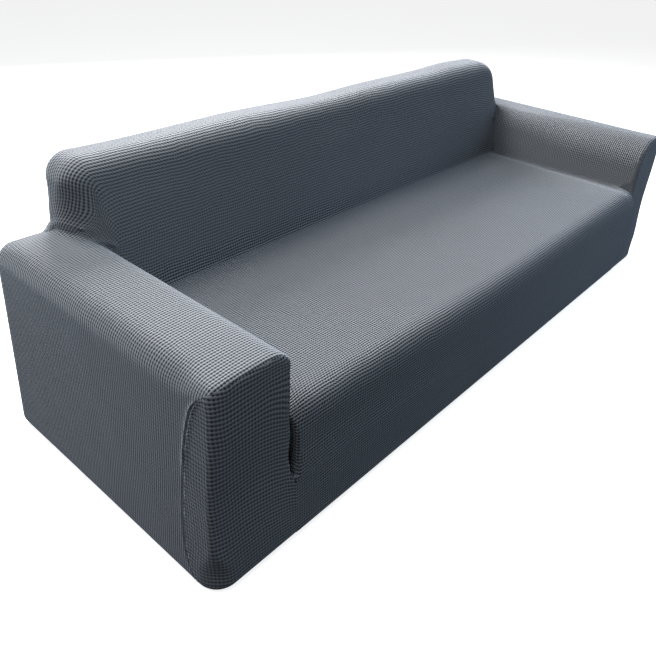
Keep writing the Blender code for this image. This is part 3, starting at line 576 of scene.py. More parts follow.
def main_profile():
    """The main panel's rows in the middle of the sofa, (y, height), from the hem to the crease."""
    rows = [(SEAT_FRONT_AT_HEM + inset, height) for inset, height in HEM_LINES]
    rows += [(seat_front_y(height), height) for height in SIDE_LEVELS[:SEAT_LEVELS]]
    for step in range(1, SEAT_ROUND_STEPS + 1):
        angle = step * math.pi / (2 * SEAT_ROUND_STEPS)
        y = SEAT_FRONT_AT_TOP + SEAT_FRONT_ROUND * (1 - math.cos(angle))
        rows.append((y, SEAT_HEIGHT - SEAT_FRONT_ROUND * (1 - math.sin(angle))))
    first = SEAT_FRONT_AT_TOP + SEAT_FRONT_ROUND
    start = ALONG_SEAT[SEAT_ROUND_STEPS - 1]
    for part in ALONG_SEAT[SEAT_ROUND_STEPS:]:
        share = (part - start) / (1 - start)
        rows.append((mix(first, SEAT_CREASE_Y, share), SEAT_HEIGHT))
    return rows


def arch_rows():
    """The rows that run up the back's ends and over it: y, inset from its outline."""
    rows = []
    for step in range(BACK_ROUND_STEPS + 1):
        angle = step * math.pi / (2 * BACK_ROUND_STEPS)
        inset = BACK_REAR_ROUND * (1 - math.sin(angle))
        y = back_face_y(BACK_HEIGHT - inset) + BACK_REAR_ROUND * (1 - math.cos(angle))
        rows.append((y, inset))
    first, last = rows[-1][0], REAR_Y - BACK_REAR_ROUND
    rows += [(mix(first, last, part), 0.0) for part in BACK_TOP_PART]
    for step in range(1, BACK_ROUND_STEPS):
        angle = step * math.pi / (2 * BACK_ROUND_STEPS)
        y = last + BACK_REAR_ROUND * math.sin(angle)
        rows.append((y, BACK_REAR_ROUND * (1 - math.cos(angle))))
    return rows


def straight_row(y, height, left, right, pull):
    """A row from arm to arm; pull says how far each end column follows the row's end."""
    first = [offset - inner_half(-1, y) for offset in MAIN_ENDS]
    last = [inner_half(1, y) - offset for offset in reversed(MAIN_ENDS)]
    middle = list(np.linspace(first[-1], last[0], MIDDLE_STEPS + 1))[1:-1]
    across = first + middle + last
    row = np.array([(x, y, height) for x in across])
    for column, share in enumerate(pull):
        row[column, 1] = mix(y, left[1], share)
        row[-1 - column, 1] = mix(y, right[1], share)
    row[0], row[-1] = left, right
    return row


def arch_half(side, y, inset, foot):
    """The columns of one end of an arched row, from the crease to the top of the back."""
    across = BACK_HALF - inset
    top = BACK_HEIGHT - inset
    radius = max(BACK_TOP_ROUND[side] - inset, LEAST_TOP_ROUND)
    points = [tuple(foot)]
    for part, share in END_FACE:
        points.append((side * across, mix(y, foot[1], share), mix(foot[2], top - radius, part)))
    for step in range(CORNER_COLUMNS + 1):
        angle = step * math.pi / 2 / CORNER_COLUMNS
        x = across - radius * (1 - math.cos(angle))
        points.append((side * x, y, top - radius * (1 - math.sin(angle))))
    return points


def arch_row(y, inset, left, right):
    first = arch_half(-1, y, inset, left)
    last = arch_half(1, y, inset, right)
    across = np.linspace(first[-1][0], last[-1][0], MIDDLE_STEPS + 1)[1:-1]
    middle = [(x, y, BACK_HEIGHT - inset) for x in across]
    return np.array(first + middle + last[::-1])


def main_grid(fronts, arms):
    """The seat's front, the seat and the back, points [row, column], columns from -X to +X."""
    edges = {}
    for side in (-1, 1):
        low = fronts[side][: SEAT_ROW, -1]
        along = arms[side][SEAT_LINE]
        up = arms[side][CREASE_REAR:SEAT_LINE, -1][::-1]
        edges[side] = np.concatenate([low, along, up])
    rows = []
    for index, (y, height) in enumerate(main_profile()):
        pull = FRONT_PULL if index < SEAT_ROW + SEAT_ROUND_STEPS else SEAT_PULL
        rows.append(straight_row(y, height, edges[-1][index], edges[1][index], pull))
    for height in BACK_LEVELS[:STRAIGHT_LEVELS]:
        index = len(rows)
        y = back_face_y(height)
        rows.append(straight_row(y, height, edges[-1][index], edges[1][index], ()))
    base = len(rows) - 1
    first_arch = base + len(BACK_LEVELS) - STRAIGHT_LEVELS
    arches = []
    for step, (y, inset) in enumerate(arch_rows()):
        index = first_arch + step
        arches.append(arch_row(y, inset, edges[-1][index], edges[1][index]))
    for index in range(base + 1, first_arch):
        share = (index - base) / (first_arch - base)
        row = mix(rows[base], arches[0], share)
        row[0], row[-1] = edges[-1][index], edges[1][index]
        rows.append(row)
    grid = settled(np.array(rows + arches))
    grid[:, 0], grid[:, -1] = edges[-1], edges[1]
    return grid


def blended(left, right, bottom, top):
    """A grid [row, column] between four edges that share their corners."""
    rows = np.linspace(0, 1, len(left))[:, None, None]
    columns = np.linspace(0, 1, len(bottom))[None, :, None]
    along = mix(left[:, None], right[:, None], columns)
    up = mix(bottom[None], top[None], rows)
    corners = mix(mix(bottom[0], bottom[-1], columns), mix(top[0], top[-1], columns), rows)
    return along + up - corners


def rear_grids(arms, main):
    """The outer back: the part between the floor and the arms' height, and the part above."""
    last, steps = main[-1], REAR_UPPER_STEPS
    over = last[steps:-steps]
    foot = np.linspace(last[0], last[-1], len(over))
    lines = TOP_SEAM_CORNER + 2
    left, right = arms[-1][:lines, -1], arms[1][:lines, -1]
    left_top = arms[-1][lines - 1 : CREASE_REAR + 1, -1]
    right_top = arms[1][lines - 1 : CREASE_REAR + 1, -1][::-1]
    top = np.concatenate([left_top, foot[1:-1], right_top])
    share = ((top[:, 0] - top[0, 0]) / (top[-1, 0] - top[0, 0]))[None, :, None]
    lower = mix(left[:, None], right[:, None], share)
    for row, (inset, height) in enumerate(LEVELS):
        lower[row, 1:-1, 1] = REAR_Y - inset
        lower[row, 1:-1, 2] = height
    lower[-1] = top
    lower[-2, 1:-1] = mix(lower[-3, 1:-1], top[1:-1], 0.5)
    upper = blended(last[: steps + 1], last[::-1][: steps + 1], foot, over)
    lower, upper = settled(lower), settled(upper)
    lower[:, 0], lower[:, -1] = left, right
    lower[-1, : len(left_top)] = left_top
    lower[-1, -len(right_top) :] = right_top
    upper[0] = lower[-1, len(left_top) - 1 : 1 - len(right_top) or None]
    upper[:, 0], upper[:, -1] = last[: steps + 1], last[::-1][: steps + 1]
    upper[-1] = over
    return lower, upper


LEAST_TURN = 0.4  # keeps a sharp corner of a sheet's edge from being drawn in too far


def parted(points, normals, edges):
    """The points with the sheet's edge drawn in by half a seam's gap."""
    inwards = {}
    for a, b in edges:
        along = points[b] - points[a]
        for end in (a, b):
            across = np.cross(normals[end], along)
            inwards.setdefault(end, []).append(across / np.linalg.norm(across))
    moved = points.copy()
    for end, (first, second) in inwards.items():
        moved[end] += (first + second) / max(1 + first @ second, LEAST_TURN) * SEAM_GAP / 2
    return moved


# Fine grids. Each gap between two coarse lines holds FINE steps, drawn together towards a seam.
FINE = 6
EVEN, START, END = 0, 1, -1
ARM_LINE_STEPS = {
    SEAT_ROW: START, SIDE_TOP: END, TOP_SEAM_CORNER: START, CREASE_REAR: START,
    FRONT_END - 1: END, FRONT_END: START, SEAT_LINE - 1: END,
}
ARM_ALONG_STEPS = {0: START, len(ALONG_ARM) - 2: END}
FRONT_ROW_STEPS = {SEAT_ROW: START, SIDE_TOP: END}
FRONT_COLUMN_STEPS = {
    line - TOP_SEAM_CORNER: kind
    for line, kind in ARM_LINE_STEPS.items() if TOP_SEAM_CORNER <= line < FRONT_END
}
MAIN_ROW_STEPS = {SEAT_ROW: START, CREASE_ROW - 1: END} | {
    CREASE_ROW + SEAT_LINE - 1 - line: -kind
    for line, kind in ARM_LINE_STEPS.items() if line >= CREASE_REAR
}
REAR_ROW_STEPS = {line: ARM_LINE_STEPS[line] for line in (SEAT_ROW, SIDE_TOP, TOP_SEAM_CORNER)}


def places(gaps, kinds):
    """Fine places along so many gaps of a coarse grid."""
    found = [0.0]
    even = np.arange(1, FINE + 1) / FINE
    for gap in range(gaps):
        kind = kinds.get(gap, EVEN)
        part = even if kind == EVEN else even**2 if kind == START else 1 - (1 - even) ** 2
        found += list(gap + part)
    return np.array(found)


def smoothly(points, at):
    """Points at fractional places along the first axis, on a smooth curve through them."""
    ends = np.concatenate([2 * points[:1] - points[1:2], points, 2 * points[-1:] - points[-2:-1]])
    first = np.minimum(at.astype(int), len(points) - 2)
    t = (at - first).reshape(-1, *[1] * (points.ndim - 1))
    a, b, c, d = (ends[first + k] for k in range(4))
    curve = 2 * b + (c - a) * t + (2 * a - 5 * b + 4 * c - d) * t**2
    return (curve + (3 * b - a - 3 * c + d) * t**3) / 2


def fine(grid, row_kinds, column_kinds):
    rows = smoothly(grid, places(grid.shape[0] - 1, row_kinds))
    both = smoothly(np.swapaxes(rows, 0, 1), places(grid.shape[1] - 1, column_kinds))
    return settled(np.swapaxes(both, 0, 1))


def sewn(arms, fronts, body, lower, upper):
    """Makes the panels share the points of their seams."""
    seat_row, crease_row, corner, front_end = (
        FINE * place for place in (SEAT_ROW, CREASE_ROW, TOP_SEAM_CORNER, FRONT_END))
    seat_line, crease_rear, on_arm, steps = (
        FINE * place for place in (SEAT_LINE, CREASE_REAR, REAR_ON_ARM, REAR_UPPER_STEPS))
    rear_corner = crease_rear - on_arm
    for side in (-1, 1):
        arm, front = arms[side], fronts[side]
        front[: corner + 1, 0] = arm[: corner + 1, 0]
        front[-1] = arm[corner : front_end + 1, 0]
        front[seat_row:, -1] = arm[front_end : seat_line + 1, 0][::-1]
        edge = 0 if side < 0 else -1
        body[: seat_row + 1, edge] = front[: seat_row + 1, -1]
        body[seat_row : crease_row + 1, edge] = arm[seat_line]
        body[crease_row:, edge] = arm[crease_rear : seat_line + 1, -1][::-1]
        lower[:, edge] = arm[: rear_corner + 1, -1]
    lower[-1, : on_arm + 1] = arms[-1][rear_corner : crease_rear + 1, -1]
    lower[-1, -on_arm - 1 :] = arms[1][rear_corner : crease_rear + 1, -1][::-1]
    upper[:, 0], upper[:, -1] = body[-1, : steps + 1], body[-1, ::-1][: steps + 1]
    upper[-1] = body[-1, steps:-steps]
    upper[0] = lower[-1, on_arm:-on_arm]


def travelled(grid, axis, flat=()):
    """Length along the grid's lines from their first point, without the coordinates named."""
    step = np.diff(grid, axis=axis)
    step[..., list(flat)] = 0.0
    length = np.cumsum(np.linalg.norm(step, axis=-1), axis=axis)
    start = np.zeros_like(np.take(length, [0], axis=axis))
    return np.concatenate([start, length], axis=axis)


def to_end(length, axis):
    return np.take(length, [-1], axis=axis) - length


# Relief of the sewing and of the pulled cloth, in metres outwards: size, distance, width
SEAM_RISE, SEAM_RIDGE = (0.0008, 0.0030), (0.0045, 0.0026)  # its size low and high on the side
SEAM_SINK, SEAM_GROOVE = (0.0016, 0.0012), (0.0, 0.0018)
CREASE_GROOVE = (-0.0018, 0.0, 0.004)  # between an arm and the back
SEAT_GROOVE = (-0.0015, 0.0, 0.004)  # between an arm and the seat
BACK_GROOVE = (-0.0020, 0.0, 0.006)  # between the seat and the back
FOLD_RIDGE = (0.0048, 0.021, 0.006)  # of the back's cloth beside the crease
FOLD_FURROW = (-0.0026, 0.011, 0.0045)


def hump(distance, at, width):
    return np.exp(-(((distance - at) / width) ** 2))


def lifted(grid, lift):
    return grid + lift[..., None] * outward(grid)


def front_seam_relief(points, distance):
    """The seam round an arm's front: a fine ridge of turned cloth, strongest up the outer side."""
    x, z = points[..., 0], points[..., 2]
    on_side = ramp(0.93, 0.99, np.abs(x)) * (1 - ramp(0.455, 0.495, z))
    high = ramp(0.25, 0.35, z)
    rise = mix(*SEAM_RISE, high) * on_side * ramp(0.0, 0.03, z)
    sink = mix(*SEAM_SINK, high) * on_side * ramp(0.0, 0.02, z)
    return rise * hump(distance, *SEAM_RIDGE) - sink * hump(distance, *SEAM_GROOVE)


def bent(share, distance, *kinds):
    """The sum of the kinds of relief beside a line, where share says how much of it there is."""
    return share * sum(size * hump(distance, at, width) for size, at, width in kinds)


def relieved(arms, fronts, body):
    """The panels with their seams' and creases' relief. Spans are in lines or rows."""
    for side in (-1, 1):
        arm, front = arms[side], fronts[side]
        lines = np.arange(arm.shape[0])[:, None] / FINE
        lift = front_seam_relief(arm, travelled(arm, 1))
        at_back = ramp(CREASE_REAR - 0.5, CREASE_REAR + 1.5, lines)
        lift += bent(at_back, to_end(travelled(arm, 1), 1), CREASE_GROOVE)
        lift += bent(1.0, to_end(travelled(arm, 0), 0), SEAT_GROOVE)
        arms[side] = lifted(arm, lift)
        from_seam = np.minimum(travelled(front, 1), to_end(travelled(front, 0), 0))
        fronts[side] = lifted(front, front_seam_relief(front, from_seam))
    rows = np.arange(body.shape[0])[:, None] / FINE
    at_back = ramp(CREASE_ROW + 0.5, CREASE_ROW + 2, rows)
    fold = within((CREASE_ROW + 2, CREASE_ROW + 4), (CREASE_ROW + 12, CREASE_ROW + 15), rows)
    on_seat = within((SEAT_ROW - 0.5, SEAT_ROW + 0.5), (CREASE_ROW - 0.5, CREASE_ROW + 0.5), rows)
    length, up = travelled(body, 1), travelled(body, 0)
    from_back = np.abs(up - up[CREASE_ROW * FINE])
    lift = bent(1 - ramp(0.86, 0.885, np.abs(body[..., 0])), from_back, BACK_GROOVE)
    for distance in (length, to_end(length, 1)):
        lift += bent(at_back, distance, CREASE_GROOVE)
        lift += bent(fold, distance, FOLD_RIDGE, FOLD_FURROW)
        lift += bent(on_seat, distance, SEAT_GROOVE)
    return arms, fronts, lifted(body, lift)


# The knit's cells: how many lie between a point and the panel's middle or hem. They are about 7 mm
# wide where the cloth lies easy and up to 10 mm where it is pulled.
ARM_CELL = (0.0070, 0.0068)  # across the top, along it
ARM_SIDE_CELL = 0.00875  # down the sides
ARM_COUNT_LINE = 26  # the line whose cells are counted from the sofa's middle
FRONT_COUNT_COLUMN = 12
FRONT_CELL = (0.0077, 0.0098)  # across, upwards
FRONT_TOP_CELL = 0.0091
BODY_CELLS = (  # up the main panel: row, cell
    (9, 0.0080), (14, 0.005888), (16, 0.0064), (21, 0.0064), (24, 0.0081), (28, 0.0081),
    (32, 0.0074),
)
SEAT_HALF_CELLS, BACK_HALF_CELLS = 118, 126
REAR_CELL = 0.0085
FRONT_DROOP = (1.04, 1.9)  # where an arm front's rows start to drop, in x, and how fast
END_DRAW = 0.02  # how far the rows are drawn down at the back's ends
END_DRAW_POWER = 1.5
HEM_INSET = 0.0075  # how much further in the hem's rows count as level


def counted(grid, cell, flat=()):
    """Cells passed from line to line, where a cell's size varies from point to point."""
    step = np.diff(travelled(grid, 0, flat), axis=0) * 2 / (cell[1:] + cell[:-1])
    return np.concatenate([np.zeros_like(step[:1]), np.cumsum(step, axis=0)])


def arm_cells(grid, side):
    z = grid[..., 2]
    cell = mix(ARM_SIDE_CELL, ARM_CELL[0], ramp(0.42, 0.50, z))
    across = counted(grid, cell, flat=(1,))
    line = ARM_COUNT_LINE * FINE
    start = np.abs(grid[line, :, 0]) / ARM_CELL[0]
    across = across[line][None] - across + start[None]
    along = (grid[:, :1, 1] + travelled(grid, 1)) / ARM_CELL[1]
    return np.stack([side * across, along], axis=-1)


def front_cells(grid, side):
    x, z = np.abs(grid[..., 0]), grid[..., 2]
    length = travelled(grid, 1)
    column = FRONT_COUNT_COLUMN * FINE
    across = (x[:, column : column + 1] + length[:, column : column + 1] - length) / FRONT_CELL[0]
    start, speed = FRONT_DROOP
    droop = speed * np.maximum(start - x, 0) ** 2 * within((-0.1, 0.15), (0.36, 0.495), z)
    cell = mix(FRONT_CELL[1], FRONT_TOP_CELL, ramp(0.34, 0.48, z))
    up = counted(grid, cell)
    return np.stack([side * across, up + droop / cell], axis=-1)


def seat_way(points):
    """Length from the hem up the seat's front, over its edge and back along its top."""
    x, y, z = np.moveaxis(points, -1, 0)
    back = y - seat_end_back(x, z) - SEAT_FRONT_AT_TOP - SEAT_FRONT_ROUND
    up = z - SEAT_HEIGHT + SEAT_FRONT_ROUND
    angle = np.arctan2(np.maximum(up, 0), np.maximum(-back, 0))
    inset = np.where(z < HEM_ROUND, np.maximum(back + SEAT_FRONT_ROUND - HEM_INSET, 0), 0)
    length = z - inset + SEAT_FRONT_ROUND * angle - np.maximum(up, 0)
    return length + np.where(up > 0, np.maximum(back, 0), 0)


def body_cells(grid):
    middle, crease = MIDDLE * FINE, CREASE_ROW * FINE + 1
    length = travelled(grid, 1)
    length = length - length[:, middle : middle + 1]
    rows = np.arange(grid.shape[0]) / FINE
    half = mix(SEAT_HALF_CELLS, BACK_HALF_CELLS, ramp(CREASE_ROW, CREASE_ROW + 6, rows))[:, None]
    ends = np.where(length < 0, -length[:, :1], length[:, -1:])
    across = half * length / ends
    line = grid[:, middle][:, None]
    cell = np.interp(rows, *np.transpose(BODY_CELLS))
    up = counted(line, cell[:, None])
    # On the seat the rows stay level, also where the panel runs in under an arm
    own = seat_way(grid)
    level = np.interp(own, seat_way(line)[:crease, 0], up[:crease, 0])
    up = mix(level, up, ramp(CREASE_ROW - 3, CREASE_ROW, rows)[:, None])
    x, z = np.abs(grid[..., 0]), grid[..., 2]
    # The rows are drawn down at the back's ends
    drop = np.clip((BACK_HEIGHT - z) / (BACK_HEIGHT - ARM_HEIGHT), 0, 1)
    on_back = ramp(CREASE_ROW + 2, CREASE_ROW + 8, rows)[:, None]
    drawn = END_DRAW * drop**END_DRAW_POWER * ramp(0.78, 0.94, x) * on_back
    return np.stack([across, up - drawn / cell[:, None]], axis=-1)


def rear_cells(grid, start=0.0):
    up = start + travelled(grid, 0) / REAR_CELL
    return np.stack([grid[..., 0] / REAR_CELL, up], axis=-1)


SHARP_FROM = math.radians(60)


def cloth_panel(name, grids, cells):
    """One panel as a sheet of real thickness, from grids of points and of the knit's cells."""
    points, faces, corners, known = [], [], [], {}
    for grid, cell in zip(grids, cells):
        index = np.zeros(grid.shape[:2], int)
        keys = np.round(grid / WELD).astype(np.int64).reshape(-1, 3)
        for place, key in zip(np.ndindex(grid.shape[:2]), map(tuple, keys)):
            if key not in known:
                known[key] = len(points)
                points.append(grid[place])
            index[place] = known[key]
        for values, target in ((index, faces), (cell, corners)):
            around = (values[:-1, :-1], values[:-1, 1:], values[1:, 1:], values[1:, :-1])
            target.append(np.stack(around, axis=2).reshape(-1, 4, *values.shape[2:]))
    points, faces, corners = np.array(points), np.concatenate(faces), np.concatenate(corners)
    a, b, c, d = (points[faces[:, k]] for k in range(4))
    across = np.cross(c - a, d - b)
    normals = outward(points)
    if np.sum(across * normals[faces[:, 0]]) < 0:
        faces, corners = faces[:, ::-1], corners[:, ::-1]
    rim = rim_edges(faces)
    count = len(points)
    skin = parted(points, normals, rim)
    every = np.concatenate([skin, skin - CLOTH * normals])
    rim = np.array(rim)
    rim_faces = np.stack([rim[:, 1], rim[:, 0], count + rim[:, 0], count + rim[:, 1]], axis=1)
    quads = np.concatenate([faces, count + faces[:, ::-1], rim_faces])
    where = {}
    for face, uv in zip(faces, corners):
        for corner, value in zip(face, uv):
            where[corner] = value
    rim_uv = np.array([[where[p % count] for p in face] for face in rim_faces.tolist()])
    uvs = np.concatenate([corners, corners[:, ::-1], rim_uv])
    mesh = bpy.data.meshes.new(name)
    mesh.from_pydata(every.tolist(), [], quads.tolist())
    layer = mesh.uv_layers.new(name="knit")
    layer.uv.foreach_set("vector", uvs.astype(np.float32).ravel())
    mesh.shade_smooth()
    mesh.set_sharp_from_angle(angle=SHARP_FROM)
    obj = bpy.data.objects.new(name, mesh)
    bpy.context.scene.collection.objects.link(obj)
    return obj, corners


def rim_edges(faces):
    """The open edges of four-sided faces, each as (from, to), in the faces' direction."""
    ends = np.concatenate([faces[:, [k, (k + 1) % 4]] for k in range(4)])
    seen = set(map(tuple, ends.tolist()))
    return [(a, b) for a, b in seen if (b, a) not in seen]


# The material. Noise scales are per metre, and the yarn's is per loop.
# The darker colour is shade painted into the knit's pits; the lighter one is the cloth's own
# colour.
YARN_COLOUR, PIT_SHADE = (0.134, 0.140, 0.150, 1), (0.008, 0.009, 0.012, 1)
CELL_DEPTH, BUMP = 0.0020, 0.8
WANDER, WANDER_SCALE = 1.6, 9.0  # in cells
PIT, ROW_FURROW, COLUMN_FURROW = 0.26, 0.52, 0.22
LOOPS = (5.0, 3.0, 1.0)  # in a cell
YARN_HEIGHT, FIBRE_HEIGHT, FIBRE_SCALE = 0.16, 0.06, 900.0
PATCH_SCALE, PATCH_TONE, YARN_TONE = 2.3, (0.95, 1.05), (0.90, 1.10)
NOISE_RANGE = (0.3, 0.7)  # where most of a noise's values lie
RAISED_RANGE = (0.22, 0.84)  # the heights that show the full painted pit shade and the plain yarn colour
ROUGH = (0.97, 0.82)  # in the pits painted with shade and on the raised yarn
SPECULAR, SHEEN, SHEEN_ROUGH, SHEEN_TINT = 0.25, 0.30, 0.45, (0.80, 0.86, 0.95, 1)
PULLED_SHARE = 0.62  # how light the knit is, between its painted pit shade and its yarn colour, where it is pulled flat
# How deep the cells are where the cloth is pulled, which also sets how dark their painted pit
# shade is: the cells' axis, and (cell, depth) along it
EVEN_PULL = (0, ((0, 1.0),))
ARM_PULL = (0, ((118, 0.6), (128, 1.15), (153, 1.15), (162, 0.65)))
BODY_PULL = (1, ((140, 1.4), (147, 0.55), (172, 0.6), (180, 1.0)))
REAR_PULL = (0, ((0, 0.6),))


class Nodes:
    """Short calls for a material's nodes."""

    def __init__(self, tree):
        self.tree = tree

    def add(self, kind, inputs=(), **settings):
        node = self.tree.nodes.new("ShaderNode" + kind)
        for name, value in settings.items():
            setattr(node, name, value)
        for name, value in dict(inputs).items():
            socket = node.inputs[name]
            if isinstance(value, bpy.types.NodeSocket):
                self.tree.links.new(value, socket)
            else:
                socket.default_value = value
        return node

    def math(self, operation, first, second=0.0, third=0.0):
        node = self.add("Math", {0: first, 1: second, 2: third}, operation=operation)
        return node.outputs[0]

    def vector(self, operation, first, second):
        second_input = "Scale" if operation == "SCALE" else 1
        inputs = {0: first, second_input: second}
        return self.add("VectorMath", inputs, operation=operation).outputs[0]

    def noise(self, where, scale, detail, roughness):
        inputs = {"Vector": where, "Scale": scale, "Detail": detail, "Roughness": roughness}
        return self.add("TexNoise", inputs).outputs[0]

    def ranged(self, value, span, to):
        inputs = {0: value, 1: span[0], 2: span[1], 3: to[0], 4: to[1]}
        return self.add("MapRange", inputs, clamp=True).outputs[0]

    def steps(self, value, pairs):
        """Runs straight from (place, value) pair to pair, the same on both sides of 0."""
        found = pairs[0][1]
        for (start, first), (end, last) in zip(pairs, pairs[1:]):
            change = self.ranged(self.math("ABSOLUTE", value), (start, end), (0.0, last - first))
            found = self.math("ADD", change, found)
        return found


def waffle(name, pulled):
    """A waffle knit: rows of raised yarn with pits between them, which follow the cells.

    The pits are painted dark as shade. Where the cloth is pulled flat they are shallower
    and their painted shade is lighter.
    """
    material = bpy.data.materials.new(name)
    material.use_nodes = True
    n = Nodes(material.node_tree)
    shader = material.node_tree.nodes["Principled BSDF"]
    cells = n.add("UVMap", uv_map="knit").outputs[0]
    place = n.add("TexCoord").outputs["Object"]
    # The cells wander a little, as knitting does
    inputs = {"Vector": place, "Scale": WANDER_SCALE, "Detail": 2.0}
    wander = n.add("TexNoise", inputs).outputs[1]
    shift = n.vector("SCALE", n.vector("SUBTRACT", wander, (0.5, 0.5, 0.5)), WANDER)
    moved = n.vector("ADD", cells, shift)
    parts = n.add("SeparateXYZ", {0: moved}).outputs
    axis, depths = pulled
    depth = n.steps(parts[axis], depths)
    waves = []
    for part in (parts[0], parts[1]):
        turn = n.math("MULTIPLY", part, 2 * math.pi)
        waves.append(n.math("MULTIPLY_ADD", n.math("COSINE", turn), 0.5, 0.5))
    column, row = waves
    # A cell's pit lies where both waves are high; the furrow between two rows is deeper than the
    # one between two columns
    pit = n.math("MULTIPLY", column, row)
    furrows = n.math("MULTIPLY_ADD", row, ROW_FURROW, n.math("MULTIPLY", column, COLUMN_FURROW))
    raised = n.math("SUBTRACT", 1.0, n.math("MULTIPLY_ADD", pit, PIT, furrows))
    # Yarn: fine loops, and fibres on them
    yarn = n.noise(n.vector("MULTIPLY", moved, LOOPS), 1.0, 2.0, 0.6)
    fibre = n.noise(place, FIBRE_SCALE, 2.0, 0.6)
    height = n.math("MULTIPLY_ADD", yarn, YARN_HEIGHT, n.math("MULTIPLY", raised, depth))
    height = n.math("MULTIPLY_ADD", fibre, FIBRE_HEIGHT, height)
    # Colour: the knit's pits painted dark as shade, with tone that varies at random
    tone = n.ranged(n.noise(place, PATCH_SCALE, 3.0, 0.5), NOISE_RANGE, PATCH_TONE)
    tone = n.math("MULTIPLY", tone, n.ranged(yarn, NOISE_RANGE, YARN_TONE))
    # share runs from the painted pit shade at 0 to the yarn's own colour at 1
    share = n.math("SUBTRACT", n.ranged(raised, RAISED_RANGE, (0.0, 1.0)), PULLED_SHARE)
    share = n.math("MULTIPLY_ADD", share, depth, PULLED_SHARE)
    mixed = n.add("Mix", {0: share, 6: PIT_SHADE, 7: YARN_COLOUR}, data_type="RGBA").outputs[2]
    bump = n.add("Bump", {"Strength": BUMP, "Distance": CELL_DEPTH, "Height": height})
    for name, socket in (
        ("Base Color", n.vector("SCALE", mixed, tone)),
        ("Roughness", n.ranged(share, (0.0, 1.0), ROUGH)),
        ("Normal", bump.outputs[0]),
    ):
        material.node_tree.links.new(socket, shader.inputs[name])
    shader.inputs["Specular IOR Level"].default_value = SPECULAR
    shader.inputs["Sheen Weight"].default_value = SHEEN
    shader.inputs["Sheen Roughness"].default_value = SHEEN_ROUGH
    shader.inputs["Sheen Tint"].default_value = SHEEN_TINT
    return material


def add_panel(node, grids, cells, pulled):
    """The sheet that stands for one packed panel."""
    obj, corners = cloth_panel(node + "_knit", grids, cells)
    obj.data.materials.append(waffle(node + "_knit", pulled))
    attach(obj, "root")
    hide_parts(node)


# The studio
CAMERA_PLACE = (-1.60257, -1.03444, 1.19670)
CAMERA_RIGHT = (0.6643873, -0.7454483, 0.0538178)
CAMERA_DOWN = (-0.38271177, -0.40117743, -0.83221894)
CAMERA_AHEAD = (0.64196668, 0.53231899, -0.55182903)
FOCAL_PIXELS, IMAGE_HEIGHT, SENSOR = 657.68, 658, 36.0
CLIP = (0.05, 60)
LIGHTS = (  # place, size, power, colour
    ("window", (1.0, 2.42, 2.14), 1.4, 342, (1.0, 1.0, 1.0)),
    ("top", (-0.9, 1.0, 2.3), 0.9, 88, (1.0, 1.0, 1.0)),
    ("left", (-1.8, -0.5, 2.2), 0.9, 36, (0.80, 0.89, 1.0)),
    ("front", (2.21, -2.21, 0.97), 1.4, 40, (0.55, 0.76, 1.0)),
)
LIGHTS_AIM = (0.0, 0.0, 0.3)
AMBIENT_COLOUR, AMBIENT = (1.0, 1.0, 1.0, 1), 0.092
FLOOR_HALF, FLOOR_DROP = 14.0, 0.001
FLOOR_COLOUR, FLOOR_GLOW = (0.62, 0.62, 0.63, 1), 0.82


def add_placed(name, data, axes, place):
    """An object whose own axes point along these three."""
    obj = bpy.data.objects.new(name, data)
    bpy.context.scene.collection.objects.link(obj)
    turn = Matrix(axes).transposed().to_4x4()
    turn.translation = place
    obj.matrix_world = turn
    return obj


def add_camera():
    data = bpy.data.cameras.new("Camera")
    data.sensor_fit = "VERTICAL"
    data.sensor_height = SENSOR
    data.lens = FOCAL_PIXELS / IMAGE_HEIGHT * SENSOR
    data.clip_start, data.clip_end = CLIP
    up, back = ([-v for v in axis] for axis in (CAMERA_DOWN, CAMERA_AHEAD))
    obj = add_placed("Camera", data, (CAMERA_RIGHT, up, back), CAMERA_PLACE)
    bpy.context.scene.camera = obj


def add_light(name, place, size, power, colour):
    data = bpy.data.lights.new(name, "AREA")
    data.shape, data.size = "SQUARE", size
    data.energy, data.color = power, colour
    ahead = np.array(LIGHTS_AIM) - place
    ahead /= np.linalg.norm(ahead)
    right = np.cross(ahead, (0, 0, 1))
    right /= np.linalg.norm(right)
    add_placed(name, data, (right, np.cross(right, ahead), -ahead), place)


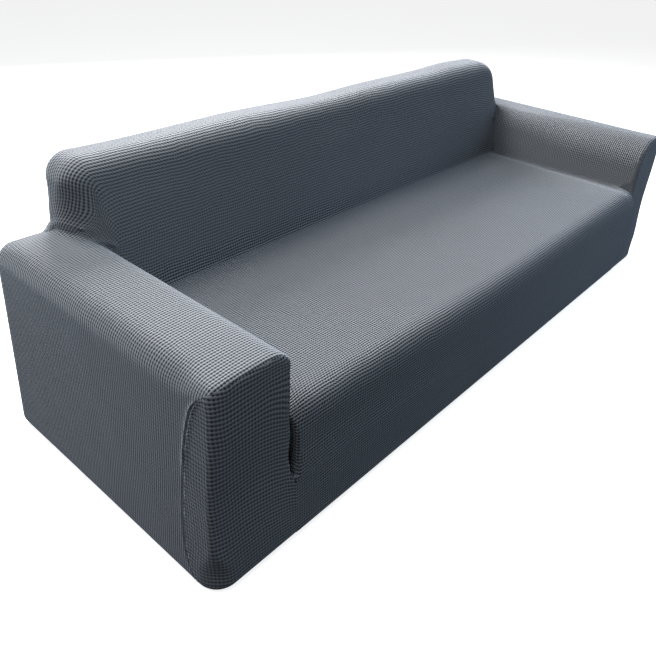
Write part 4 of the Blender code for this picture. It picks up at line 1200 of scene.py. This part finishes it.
def add_floor():
    """A plain pale floor. It throws no light back onto the cloth."""
    half = FLOOR_HALF
    mesh = bpy.data.meshes.new("floor")
    corners = [(-half, -half, 0), (half, -half, 0), (half, half, 0), (-half, half, 0)]
    mesh.from_pydata(corners, [], [(0, 1, 2, 3)])
    floor = bpy.data.objects.new("floor", mesh)
    floor.location.z = -FLOOR_DROP
    floor.visible_diffuse = floor.visible_glossy = False
    material = bpy.data.materials.new("floor")
    material.use_nodes = True
    shader = material.node_tree.nodes["Principled BSDF"]
    shader.inputs["Base Color"].default_value = FLOOR_COLOUR
    shader.inputs["Roughness"].default_value = 1.0
    shader.inputs["Specular IOR Level"].default_value = 0.0
    shader.inputs["Emission Color"].default_value = (1, 1, 1, 1)
    shader.inputs["Emission Strength"].default_value = FLOOR_GLOW
    mesh.materials.append(material)
    bpy.context.scene.collection.objects.link(floor)


def add_studio():
    scene = bpy.context.scene
    world = bpy.data.worlds.new("World")
    scene.world = world
    world.use_nodes = True
    background = world.node_tree.nodes["Background"]
    background.inputs[0].default_value = AMBIENT_COLOUR
    background.inputs[1].default_value = AMBIENT
    for light in LIGHTS:
        add_light(*light)
    scene.view_settings.view_transform = "Standard"
    scene.view_settings.look = "None"
    add_floor()


def main():
    add_camera()
    arms = {side: arm_grid(side) for side in (-1, 1)}
    fronts = {side: front_grid(side, arms[side]) for side in (-1, 1)}
    body = main_grid(fronts, arms)
    lower, upper = rear_grids(arms, body)
    arms = {side: fine(grid, ARM_LINE_STEPS, ARM_ALONG_STEPS) for side, grid in arms.items()}
    kinds = FRONT_ROW_STEPS, FRONT_COLUMN_STEPS
    fronts = {side: fine(grid, *kinds) for side, grid in fronts.items()}
    body = fine(body, MAIN_ROW_STEPS, {})
    lower, upper = fine(lower, REAR_ROW_STEPS, {}), fine(upper, {}, {})
    sewn(arms, fronts, body, lower, upper)
    arms, fronts, body = relieved(arms, fronts, body)
    sewn(arms, fronts, body, lower, upper)
    for side, label in ((-1, "left"), (1, "right")):
        arm, beside = arms[side], ["seat_and_back_panel_knit"]
        add_panel(f"{label}_arm_panel", [arm], [arm_cells(arm, side)], ARM_PULL)
        front, beside = fronts[side], [f"{label}_arm_panel_knit"]
        add_panel(f"{label}_arm_front", [front], [front_cells(front, side)], EVEN_PULL)
    beside = ["left_arm_panel_knit", "right_arm_panel_knit"]
    add_panel("seat_and_back_panel", [body], [body_cells(body)], BODY_PULL)
    low = rear_cells(lower)
    cells = [low, rear_cells(upper, low[-1, REAR_ON_ARM * FINE, 1])]
    beside = ["seat_and_back_panel_knit"]
    add_panel("outer_back_panel", [lower, upper], cells, REAR_PULL)
    add_studio()


main()
bpy.context.view_layer.update()
